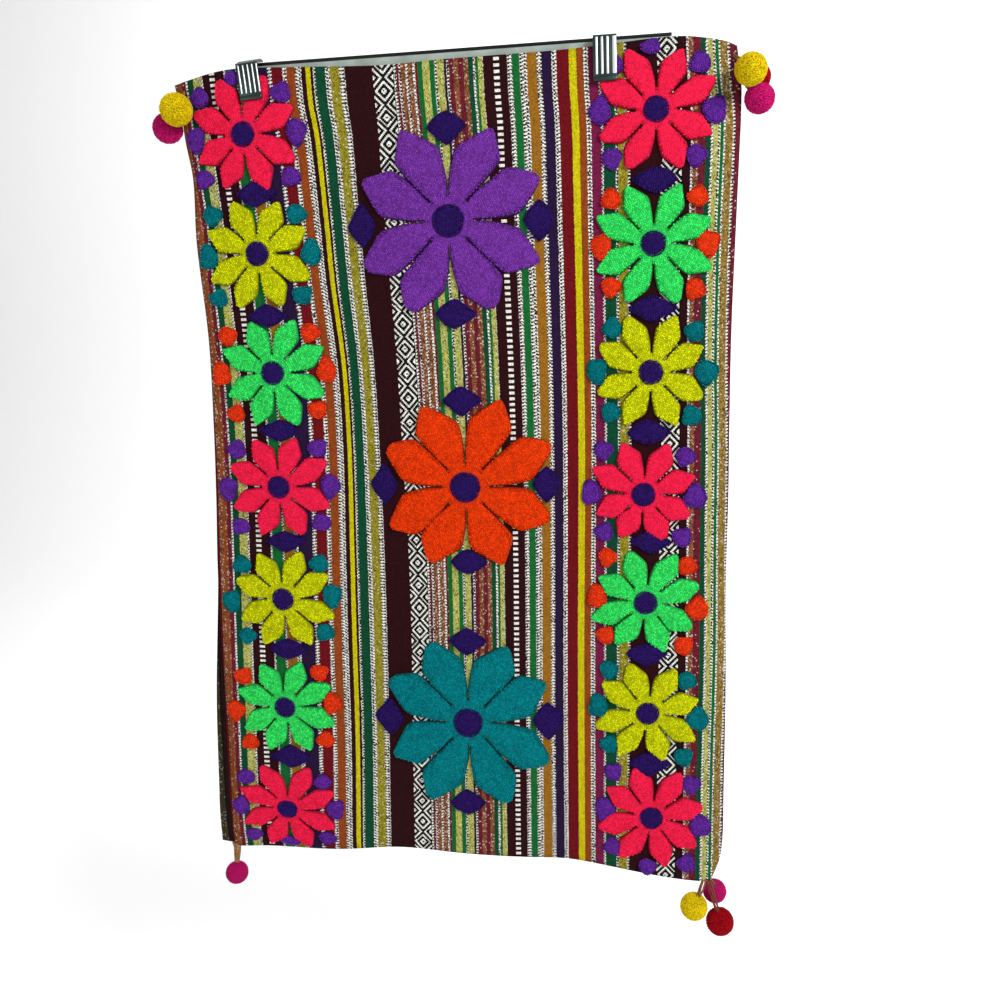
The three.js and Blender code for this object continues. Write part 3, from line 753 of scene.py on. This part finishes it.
def petal_points(flower, k, share, across):
    """Points of petal k: share runs from eye to tip, across from -1 to 1."""
    size = flower["size"]
    seed = flower["x"] + flower["z"] + 2 * PETALS * k
    hand = 1 if k % 2 == 0 else -1
    angle = (k + 0.5) * 2 * math.pi / PETALS + hand * size["pair"] + math.radians(flower["turn"])
    grown = ease((share - size["root"]) / (PETAL_FREE - size["root"]))
    lean = angle + PETAL_TURN * uneven(seed) * grown
    reach = flower["grow"] + flower["lift"] * math.sin(angle) + PETAL_STRETCH * uneven(seed + PETALS)
    along = size["radius"] * share * (1 + (reach - 1) * grown)
    axis, diagonal = petal_sides(size, share, PETAL_BLUNT * uneven(seed + 7))
    side = hand * (diagonal - axis) / 2 + across * (diagonal + axis) / 2
    skew = PETAL_SKEW * uneven(seed + 3) * size["radius"]
    side = side + skew * np.clip((share - PETAL_FREE) / (1 - PETAL_FREE), 0, 1)
    side = side + PETAL_WAVE["out"] * uneven(seed + 5) * np.sin(PETAL_WAVE["turns"] * share + seed) * grown
    x = flower["x"] + along * np.cos(lean) - side * np.sin(lean)
    z = flower["z"] + (along * np.sin(lean) + side * np.cos(lean)) * flower["tall"]
    return x, z


def petal_height(share, across):
    dome = PETAL_EDGE + (PETAL_CREST - PETAL_EDGE) * (1 - np.abs(across) ** 5)
    fall = ((share - PETAL_FALL) / (1 - PETAL_FALL)).clip(0, 1)
    return dome * np.sqrt(np.clip(1 - fall ** 2 * PETAL_SINK, 0, 1))


def on_cloth(x, z, height):
    return to_scene(x, front_depth(x, z) - PILE_GAP - height, z)


def pad(name, columns, rows, shape):
    """A closed domed pad on the cloth: a grid moved by shape, its rim sunk and its foot filled."""
    grid = flat_grid(name, columns, rows)
    flat = read_points(grid)
    rim = np.maximum(np.abs(flat[:, 0]), np.abs(flat[:, 1])) > 0.999
    x, z, height = shape(flat[:, 0], flat[:, 1])
    put_points(grid, on_cloth(x, z, np.where(rim, 0.0, height)))
    bpy.ops.object.mode_set(mode="EDIT")
    bpy.ops.mesh.select_all(action="DESELECT")
    bpy.ops.mesh.select_mode(type="EDGE")
    bpy.ops.mesh.select_non_manifold()
    bpy.ops.mesh.edge_face_add()
    bpy.ops.mesh.select_all(action="SELECT")
    bpy.ops.mesh.normals_make_consistent(inside=False)
    bpy.ops.object.mode_set(mode="OBJECT")
    smooth(grid)
    return grid


KNOT_RING = [math.radians(60 * n) for n in range(6)]
KNOT_FACES = [(0, 1, 6), (1, 2, 7, 6), (2, 3, 7), (3, 4, 7), (4, 5, 6, 7), (5, 0, 6), (5, 4, 3, 2, 1, 0)]


def knots(name, x, z, height, random):
    """Small yarn loops, each a rounded ridge with its own turn and tone."""
    count = len(x)
    turn = random.uniform(0, math.pi, count)
    grow = random.uniform(0.85, 1.15, count)
    x = x + random.normal(0, KNOT["stray"], count)
    z = z + random.normal(0, KNOT["stray"], count)
    long_x, long_z = np.cos(turn) * grow, np.sin(turn) * grow
    local = [(KNOT["half_length"] * math.cos(a), KNOT["half_width"] * math.sin(a), 0.0) for a in KNOT_RING]
    ridge = KNOT["half_length"] * 0.45
    local += [(ridge, 0.0, KNOT["height"]), (-ridge, 0.0, KNOT["height"])]
    points = np.empty((count, len(local), 3))
    for n, (along, side, up) in enumerate(local):
        px = x + long_x * along - long_z * side
        pz = z + long_z * along + long_x * side
        points[:, n] = on_cloth(px, pz, height - KNOT["sunk"] + up * grow)
    first = np.arange(count) * len(local)
    faces = [tuple(int(f + n) for n in face) for f in first for face in KNOT_FACES]
    tones = np.repeat(random.uniform(0, 1, count), len(local))
    piece = array_mesh(name, points.reshape(-1, 3), faces, tones)
    smooth(piece)
    return piece


def petal_knots(flower, k):
    """Rows of loops over one petal, from the eye to the tip."""
    size = flower["size"]
    start = size["root"] - 0.02
    steps = int((1 - start) * size["radius"] / (KNOT["pitch"] * 0.9))
    places = []
    for n in range(steps):
        share = start + (n + 0.5) / steps * (0.985 - start)
        half = float(sum(petal_sides(size, np.array(share)))) / 2
        count = max(1, round((2 * half - 0.6) / KNOT["pitch"]))
        across = (np.arange(count) + 0.5 + 0.25 * (n % 2 * 2 - 1) * (count > 2)) / count * 2 - 1
        across = across * (1 - KNOT["half_length"] / max(half, 1.8))
        places.append(np.stack([np.full(count, share), across]))
    share, across = np.concatenate(places, axis=1)
    x, z = petal_points(flower, k, share, across)
    return x, z, petal_height(share, across)


def flower_piece(flower, material, random):
    size = flower["size"]
    start = size["root"] - 0.1
    heart = dict(eye_patch(flower), crest=PETAL_CREST, dome=0.12)
    heart["wide"] = size["radius"] * size["root"]
    heart["high"] = heart["wide"] * flower["tall"]
    pieces = [pad("heart", 10, 10, lambda a, b: round_patch(heart, a, b))]
    for k in range(PETALS):
        def shape(a, b, k=k):
            share = start + (1 - start) * (b + 1) / 2
            x, z = petal_points(flower, k, share, a)
            return x, z, petal_height(share, a)
        pieces.append(pad("petal", 8, 20, shape))
    places = [petal_knots(flower, k) for k in range(PETALS)]
    places.append(patch_knots(heart, size["eye"] + KNOT["half_width"]))
    loops = [np.concatenate(part) for part in zip(*places)]
    pieces.append(knots("loops", *loops, random))
    piece = joined("petals_" + flower["name"], pieces)
    return keep(piece, "yarn_" + flower["yarn"], material, "flower_" + flower["name"])


def round_patch(patch, a, b):
    """Square (a, b) moved onto a dot or a diamond: power 2 is round, power near 1 a diamond."""
    reach = np.maximum(np.abs(a), np.abs(b))
    angle = np.arctan2(b, a)
    power = patch["power"]
    edge = (np.abs(np.cos(angle)) ** power + np.abs(np.sin(angle)) ** power) ** (-1 / power)
    lobes = np.sin(3 * angle + patch["seed"]) + 0.6 * np.sin(4 * angle + 2 * patch["seed"])
    edge = edge * (1 + patch["lobes"] * lobes)
    x = patch["x"] + patch["wide"] * reach * edge * np.cos(angle)
    z = patch["z"] + patch["high"] * reach * edge * np.sin(angle)
    return x, z, patch["crest"] * (1 - patch["dome"] * reach ** 2.6)


def patch_knots(patch, clear=0.0):
    """Rings of loops over a patch, with its middle left clear out to a radius."""
    mean = (patch["wide"] + patch["high"]) / 2
    rings = max(1, round((mean - 0.4) / (KNOT["pitch"] * 0.95)))
    a, b = [np.zeros(1)], [np.zeros(1)]
    for n in range(1, rings + 1):
        reach = n / rings * (1 - KNOT["half_width"] / mean)
        count = max(5, round(2 * math.pi * reach * mean / KNOT["pitch"]))
        angle = (np.arange(count) + 0.5 * (n % 2)) * 2 * math.pi / count
        square = np.maximum(np.abs(np.cos(angle)), np.abs(np.sin(angle)))
        a.append(reach * np.cos(angle) / square)
        b.append(reach * np.sin(angle) / square)
    x, z, height = round_patch(patch, np.concatenate(a), np.concatenate(b))
    free = np.hypot(x - patch["x"], z - patch["z"]) >= clear
    return x[free], z[free], height[free]


def patches_piece(name, patches, random):
    pieces = [pad("patch", 8, 8, lambda a, b, p=p: round_patch(p, a, b)) for p in patches]
    loops = [np.concatenate(part) for part in zip(*(patch_knots(p) for p in patches))]
    pieces.append(knots("loops", *loops, random))
    return joined(name, pieces)


def eye_patch(flower):
    radius = flower["size"]["eye"]
    half = dict(wide=radius, high=radius * flower["tall"])
    form = dict(power=2.0, crest=EYE_CREST, dome=0.2, lobes=0.015, seed=flower["z"])
    return dict(x=flower["x"], z=flower["z"], **half, **form)


# Small sewn diamonds round the large flowers and between the small ones: middle, half width and height
DIAMOND_CREST = 2.9
DIAMOND_POWER = 1.22
DIAMONDS = table(
    "x z wide high",
    (0, -66, 17.5, 14.5),
    (3.5, -226, 19, 13.5),
    (-79, -147, 13, 19.5),
    (80, -147, 13.5, 18.5),
    (7, -304, 18, 13.5),
    (9, -455.5, 18, 12.5),
    (-69, -381.5, 13, 19),
    (83.5, -382, 13, 17.5),
    (5.5, -534, 18, 13.5),
    (1.5, -701, 18, 13.5),
    (-74.5, -614.5, 14.5, 19),
    (82, -614.5, 15, 19.5),
    (-175.5, -116, 19, 11.5),
    (-172, -224, 19, 10.5),
    (-167.5, -330, 20, 10.5),
    (-169, -437, 20, 10.5),
    (-173.5, -546, 20, 11),
    (-178.5, -660, 21, 12),
    (181, -116.5, 20.5, 11.5),
    (179, -225.2, 21.5, 11.5),
    (176, -335, 20, 12),
    (179, -436, 18.5, 11.5),
    (176, -545, 20, 11.5),
    (178.5, -656, 19.5, 12.5),
)

# Lone dots at the ends of the two columns
END_DOTS = table(
    "x z wide high",
    (-186, -755, 14, 5.5),
    (-191, -17, 8, 6.5),
    (176, -9, 8.7, 6.2),
    (177.5, -761, 8.7, 8.6),
)

# Dots round a small flower: offsets from its middle, half sizes
LEFT_DOTS = table(
    "dx dz wide high",
    (-42, 35, 9.2, 9),
    (37.5, 35, 9.2, 8.8),
    (-53, -2, 9, 11.5),
    (48.5, 0.5, 9, 12),
    (-41, -37.5, 9, 8.2),
    (40, -36.5, 9.2, 8.6),
)
RIGHT_DOTS = table(
    "dx dz wide high",
    (-35.5, 37.5, 8.6, 9.2),
    (36.5, 37, 9, 9),
    (-46.5, 0, 9.2, 12),
    (48, 0, 10.5, 11.5),
    (-36, -37.5, 8.8, 9),
    (35, -40, 9, 9.4),
)
DOT_CREST = 2.7
DOT_POWER = 2.0
DOT_STRAY = 1.6
EDGE_MARGIN = 1.5
DOT_YARNS = dict(pink="dot_purple", yellow="dot_teal", green="dot_orange")
DOT_SLOTS = dict(dot_purple="yarn_purple", dot_teal="yarn_teal", dot_orange="yarn_orange")


def sewn_diamonds():
    look = dict(power=DIAMOND_POWER, crest=DIAMOND_CREST, dome=0.4, lobes=0.04)
    return [dict(row, **look, seed=1.7 * n) for n, row in enumerate(DIAMONDS)]


def sewn_dots(yarn):
    """The dots of one yarn, on the slope of their flowers and kept on the cloth."""
    look = dict(power=DOT_POWER, crest=DOT_CREST, dome=0.45, lobes=0.09)
    patches = []
    for flower in FLOWERS:
        if DOT_YARNS.get(flower["yarn"]) != yarn:
            continue
        slope = math.tan(math.radians(flower["turn"]))
        rows = LEFT_DOTS if flower["x"] < 0 else RIGHT_DOTS
        for n, row in enumerate(rows):
            seed = flower["x"] + flower["z"] + n
            z = flower["z"] + row["dz"] * flower["tall"] + row["dx"] * slope + DOT_STRAY * uneven(seed + 1)
            x = flower["x"] + row["dx"] + DOT_STRAY * uneven(seed)
            room = row["wide"] + EDGE_MARGIN
            x = float(np.clip(x, left_edge(z) + room, right_edge(z) - room))
            low = float(bottom_edge(x)) + row["high"] + EDGE_MARGIN
            half = dict(wide=row["wide"], high=row["high"] * flower["tall"])
            patches.append(dict(look, x=x, z=max(z, low), seed=seed, **half))
    if yarn == "dot_purple":
        patches += [dict(row, **look, seed=2.3 * n) for n, row in enumerate(END_DOTS)]
    return patches


# Pompoms: middle of the ball, radius, where its string is sewn on, and the string's plies
PLAIN_POMPOM = dict(plies=3, shade=1)
POMPOMS = [dict(PLAIN_POMPOM, **row) for row in (
    dict(name="top_left_1", x=-240.5, y=-10, z=-42.5, r=14.2, sewn=(-239, -24), yarn="sun"),
    dict(name="top_left_2", x=-258, y=9, z=-54, r=13.4, sewn=(-245, -27), yarn="magenta"),
    dict(name="top_right_1", x=257, y=-17, z=-34.5, r=13.2, sewn=(245, -18), yarn="sun"),
    dict(name="top_right_2", x=267, y=0, z=-54, r=12.6, sewn=(252, -38), yarn="magenta"),
    dict(name="top_right_3", x=266.5, y=16, z=-33.5, r=11.8, sewn=(251, -28), yarn="crimson"),
    dict(name="low_left_1", x=-246.5, y=2, z=-794, r=11.5, sewn=(-248, -763), plies=9, shade=0.4,
         yarn="magenta"),
    dict(name="low_right_1", x=223, y=-9, z=-802.5, r=13.2, sewn=(232, -773), plies=4, yarn="sun"),
    dict(name="low_right_2", x=244.5, y=7, z=-795, r=11.5, sewn=(238, -773), plies=4, shade=0.6,
         yarn="magenta"),
    dict(name="low_right_3", x=249, y=-4, z=-821, r=13.4, sewn=(235, -773), plies=5, shade=0.9,
         yarn="crimson"),
)]
TUFTS = 1800
TUFT = dict(root=0.8, root_half=0.5, tip_half=0.8)
STRING = dict(radius=0.8, sides=6, steps=14, twist=3.0, spread=1.4, flare=0.55)
STRING_BOW = (1.5, -1.0, 1.0)
STRING_DYE = dict(low_right_1=0.3, low_right_2=0.4, low_right_3=0.8)


def pompom_piece(row, material, random):
    """A trimmed ball of cut yarn: a core and many short three-sided tufts."""
    middle = to_scene(np.array(row["x"]), np.array(row["y"]), np.array(row["z"]))
    deselect()
    core_size = row["r"] * MM * 0.9
    bpy.ops.mesh.primitive_ico_sphere_add(subdivisions=3, radius=core_size, location=middle.tolist())
    core = bpy.context.object
    bpy.ops.object.transform_apply(location=True, rotation=True, scale=True)
    smooth(core)
    n = np.arange(TUFTS) + 0.5
    up = 1 - 2 * n / TUFTS
    turn = math.pi * (1 + math.sqrt(5)) * n
    flat = np.sqrt(1 - up * up)
    out = np.stack([flat * np.cos(turn), flat * np.sin(turn), up], axis=-1)
    out = out + random.normal(0, 0.03, out.shape)
    out = out / np.linalg.norm(out, axis=1, keepdims=True)
    side = np.cross(out, random.normal(0, 1, out.shape))
    side = side / np.linalg.norm(side, axis=1, keepdims=True)
    other = np.cross(out, side)
    reach = row["r"] * random.uniform(0.955, 1.02, TUFTS)[:, None]
    points = np.empty((TUFTS, 6, 3))
    for c in range(3):
        angle = 2 * math.pi * c / 3
        spoke = side * math.cos(angle) + other * math.sin(angle)
        points[:, c] = out * row["r"] * TUFT["root"] + spoke * TUFT["root_half"]
        points[:, c + 3] = out * reach + spoke * TUFT["tip_half"]
    points = points * MM + middle
    sides = [(0, 1, 4, 3), (1, 2, 5, 4), (2, 0, 3, 5), (3, 4, 5), (2, 1, 0)]
    faces = [tuple(int(6 * t + i) for i in face) for t in range(TUFTS) for face in sides]
    tones = np.repeat(row["shade"] * random.uniform(0.22, 0.78, TUFTS), 6)
    tufts = array_mesh("tufts", points.reshape(-1, 3), faces, tones)
    piece = joined("ball_" + row["name"], [core, tufts])
    return keep(piece, "pompom_" + row["yarn"], material, "pompom_" + row["name"])


def tube(points, radius, sides):
    """Points and faces of a closed thin tube along points."""
    ahead = np.gradient(points, axis=0)
    ahead = ahead / np.linalg.norm(ahead, axis=1, keepdims=True)
    side = np.cross(ahead, [0.3, 0.9, 0.1])
    side = side / np.linalg.norm(side, axis=1, keepdims=True)
    other = np.cross(ahead, side)
    rings = []
    for n in range(sides):
        angle = 2 * math.pi * n / sides
        rings.append(points + radius * (side * math.cos(angle) + other * math.sin(angle)))
    rings = np.stack(rings, axis=1)
    count = len(points)
    faces = []
    for i in range(count - 1):
        for n in range(sides):
            m = (n + 1) % sides
            faces.append((i * sides + n, i * sides + m, (i + 1) * sides + m, (i + 1) * sides + n))
    faces.append(tuple(reversed(range(sides))))
    faces.append(tuple((count - 1) * sides + n for n in range(sides)))
    return rings.reshape(-1, 3), faces


def strings_piece(name, rows, material):
    """The twisted strings from the cloth's corner into each ball."""
    points, faces, tones = [], [], []
    first = 0
    for row in rows:
        x, z = row["sewn"]
        top = np.array([x, float(front_depth(np.array(x), np.array(z))) + CLOTH_THICKNESS / 2, z])
        ball = np.array([row["x"], row["y"], row["z"]], float)
        t = np.linspace(0, 1, STRING["steps"])[:, None]
        middle = (top + ball) / 2 + np.array(STRING_BOW)
        path = top * (1 - t) ** 2 + 2 * middle * t * (1 - t) + ball * t ** 2
        for ply in range(row["plies"]):
            angle = 2 * math.pi * ply / row["plies"] + STRING["twist"] * t
            wind = np.concatenate([np.cos(angle), np.sin(angle), 0 * t], axis=1) * STRING["spread"]
            fan = (ply - (row["plies"] - 1) / 2) * 2 * STRING["flare"] * (1 - t) ** 1.5
            line = path + wind + np.concatenate([fan, 0 * t, 0 * t], axis=1)
            places, sides = tube(to_scene(*line.T), STRING["radius"] * MM, STRING["sides"])
            points.append(places)
            faces += [tuple(first + i for i in face) for face in sides]
            tones += [STRING_DYE.get(row["name"], 0.0)] * len(places)
            first += len(places)
    piece = array_mesh(name, np.concatenate(points), faces, np.array(tones))
    smooth(piece)
    return keep(piece, "pompom_sun", material)


# Hanger clips
HANGER_TILT = 0.018
CLIP = dict(width=20, plate=1.2, front=-4.6, lip=4.0, lip_out=2.4)
CLIP_RIB = dict(out=1.1, sunk=0.3, foot=1.5, top=0.4)
CLIPS = [
    dict(name="left", x=-175.5, top=3.7, drop=33.4, lean=0.09),
    dict(name="right", x=137.5, top=2.3, drop=38, lean=HANGER_TILT),
]
CLIP_RIBS = dict(
    left=[dict(x=x, half=0.6) for x in (-7.4, -3.2, 1.0, 5.2, 9.2)],
    right=[dict(x=-7.0, half=0.95), dict(x=-2.4, half=0.95), dict(x=2.2, half=0.95), dict(x=7.9, half=1.6)],
)


def block(name, low, high):
    """A box between two corners in mm, ready to be bevelled."""
    deselect()
    low, high = np.array(low, float), np.array(high, float)
    centre = (low + high) / 2
    place = to_scene(*centre)
    bpy.ops.mesh.primitive_cube_add(size=1, location=place.tolist(), scale=((high - low) * MM).tolist())
    box = bpy.context.object
    bpy.ops.object.transform_apply(location=True, rotation=True, scale=True)
    box.name = name
    return box


def clip_front(clip, dark, bright):
    """Front jaw: a plate and thick lower lip in the dark steel of painted shade, with rounded ribs in the
    bright steel of painted highlight.
    """
    half = CLIP["width"] / 2
    face = CLIP["front"] - CLIP["plate"]
    plate = block("plate", (-half, face, -clip["drop"]), (half, CLIP["front"], -clip["top"]))
    apply(plate, "BEVEL", width=0.4 * MM, segments=2)
    lip = block("lip", (-half, CLIP["front"] - CLIP["lip_out"], -clip["drop"]),
                (half, CLIP["front"], CLIP["lip"] - clip["drop"]))
    apply(lip, "BEVEL", width=0.9 * MM, segments=3)
    plate = joined("plate", [plate, lip])
    # Painted shade and dark reflection: the plate's dark steel
    plate.data.materials.append(dark)
    ribs = []
    for rib in CLIP_RIBS[clip["name"]]:
        low = (rib["x"] - rib["half"], face - CLIP_RIB["out"], CLIP["lip"] + CLIP_RIB["foot"] - clip["drop"])
        high = (rib["x"] + rib["half"], face + CLIP_RIB["sunk"], -CLIP_RIB["top"] - clip["top"])
        bar = block("rib", low, high)
        apply(bar, "BEVEL", width=0.45 * MM, segments=4)
        ribs.append(bar)
    ribs = joined("ribs", ribs)
    # Painted highlight: the ribs' bright steel
    ribs.data.materials.append(bright)
    piece = joined(f"jaw_{clip['name']}", [plate, ribs])
    points = read_points(piece)
    x, z = points[:, 0].copy(), points[:, 2].copy()
    points[:, 0] = x * math.cos(clip["lean"]) - z * math.sin(clip["lean"]) + clip["x"] * MM
    points[:, 2] = x * math.sin(clip["lean"]) + z * math.cos(clip["lean"])
    points[:, 2] += clip["x"] * math.tan(HANGER_TILT) * MM
    put_points(piece, points)
    select_only(piece)
    bpy.ops.object.shade_smooth_by_angle(angle=math.radians(40))
    place_in_frame(piece, "clip_steel", f"clip_{clip['name']}_front")


# Camera at the photograph's view: place in mm, turns in radians, focal length in pixels
CAMERA = dict(x=139.6, y=-873.7, z=-230.2, yaw=0.114, pitch=-0.188, roll=0.023, focal=958.3)
IMAGE_SIZE = 1000
SENSOR = 36.0


def make_camera():
    data = bpy.data.cameras.new("camera")
    data.sensor_width = SENSOR
    data.lens = CAMERA["focal"] * SENSOR / IMAGE_SIZE
    data.clip_end = 50
    camera = bpy.data.objects.new("camera", data)
    bpy.context.collection.objects.link(camera)
    turn = (
        Matrix.Rotation(CAMERA["yaw"], 4, "Z")
        @ Matrix.Rotation(CAMERA["pitch"], 4, "X")
        @ Matrix.Rotation(CAMERA["roll"], 4, "Y")
        @ Matrix.Rotation(math.pi / 2, 4, "X")
    )
    place = Vector(to_scene(np.array(CAMERA["x"]), np.array(CAMERA["y"]), np.array(CAMERA["z"])))
    camera.matrix_world = Matrix.Translation(place) @ turn
    bpy.context.scene.camera = camera


def soft_light(name, place, aim, size, power):
    data = bpy.data.lights.new(name, "AREA")
    data.size = size
    data.energy = power
    light = bpy.data.objects.new(name, data)
    bpy.context.collection.objects.link(light)
    light.location = place
    way = Vector(aim) - Vector(place)
    light.rotation_euler = way.to_track_quat("-Z", "Y").to_euler()


LIGHTS = [
    dict(name="key", place=(1.3, -1.4, 0.6), aim=(0, 0, -0.4), size=0.6, power=44),
    dict(name="fill", place=(-1.3, -1.7, -0.6), aim=(0, 0, -0.5), size=1.6, power=13),
    dict(name="wash", place=(0.0, 1.0, 1.4), aim=(0, 4.0, -0.2), size=2.0, power=90),
]
WORLD_LIGHT = 0.5
FLOOR = dict(z=-1.2, front=-5.0, bend=2.4, radius=1.6, top=6.0, half_width=9.0)


def make_stage():
    """A pale floor that sweeps up into a backdrop."""
    sweep = flat_grid("floor", 2, 60)
    grid = read_points(sweep)
    quarter = FLOOR["radius"] * math.pi / 2
    run = (grid[:, 1] + 1) / 2 * (FLOOR["bend"] - FLOOR["front"] + quarter + FLOOR["top"])
    level = FLOOR["bend"] - FLOOR["front"]
    angle = np.clip((run - level) / FLOOR["radius"], 0, math.pi / 2)
    y = FLOOR["front"] + np.minimum(run, level) + FLOOR["radius"] * np.sin(angle)
    rise = np.maximum(run - level - quarter, 0)
    z = FLOOR["z"] + FLOOR["radius"] * (1 - np.cos(angle)) + rise
    put_points(sweep, np.stack([grid[:, 0] * FLOOR["half_width"], y, z], axis=-1))
    smooth(sweep)
    sweep.data.materials.append(pale_wall("pale_floor", (244, 244, 244)))


def main():
    scene = bpy.context.scene
    scene.view_settings.view_transform = "Standard"
    make_camera()

    cloth = striped_cloth()
    front = panel("front_sheet", FRONT_GRID, inset=0, peek=0, gap=False)
    keep(front, "striped_cloth", cloth, "front_panel")
    back = panel("back_sheet", BACK_GRID, inset=BACK_INSET, peek=BACK_PEEK["out"], gap=True)
    keep(back, "striped_cloth", cloth, "back_panel")

    yarns = {}
    for name, rgb in YARNS.items():
        yarns[name] = yarn_pile("yarn_" + name, rgb, YARN_DARK.get(name, PILE_DARK))
    random = np.random.default_rng(7)
    for flower in FLOWERS:
        flower_piece(flower, yarns[flower["yarn"]], random)
        eye = patches_piece("middle_of_" + flower["name"], [eye_patch(flower)], random)
        keep(eye, "yarn_indigo", yarns["indigo"], "eye_" + flower["name"])
    diamonds = patches_piece("sewn_diamonds", sewn_diamonds(), random)
    keep(diamonds, "yarn_indigo", yarns["indigo"])
    for yarn in DOT_YARNS.values():
        dots = patches_piece("sewn_" + yarn, sewn_dots(yarn), random)
        keep(dots, DOT_SLOTS[yarn], yarns[yarn])

    balls = [pompom_piece(row, yarns[row["yarn"]], random) for row in POMPOMS]
    string = string_yarn()
    corners = ("top_left", "top_right", "low_left", "low_right")
    for corner in corners:
        rows = [row for row in POMPOMS if row["name"].startswith(corner)]
        strings_piece("strings_" + corner, rows, string)

    # The clips' chrome as two copies of one steel: a dark one with painted shade and dark reflection, a
    # bright one with painted highlight
    dark = steel("clip_steel_painted_shade", (58, 70, 68), 0.3)
    bright = steel("clip_steel_painted_highlight", (236, 240, 242), 0.3)
    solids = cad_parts
    for clip in CLIPS:
        clip_front(clip, dark, bright)
        # Painted highlight on the backs, painted shade on the saddles
        dress(solids[f"clip_{clip['name']}_back"], bright)
        dress(solids[f"clip_{clip['name']}_saddle"], dark)
    dress(solids["hanger_bar"], bar_plastic())
    # The dark rail along the bar's top is painted shade and reflection
    dress(solids["hanger_rail"], steel("rail_metal", (44, 46, 48), 0.3))

    make_stage()
    world = bpy.data.worlds.new("studio")
    world.use_nodes = True
    sky = world.node_tree.nodes["Background"].inputs
    sky["Color"].default_value = (1, 1, 1, 1)
    sky["Strength"].default_value = WORLD_LIGHT
    scene.world = world
    for light in LIGHTS:
        soft_light(**light)


main()
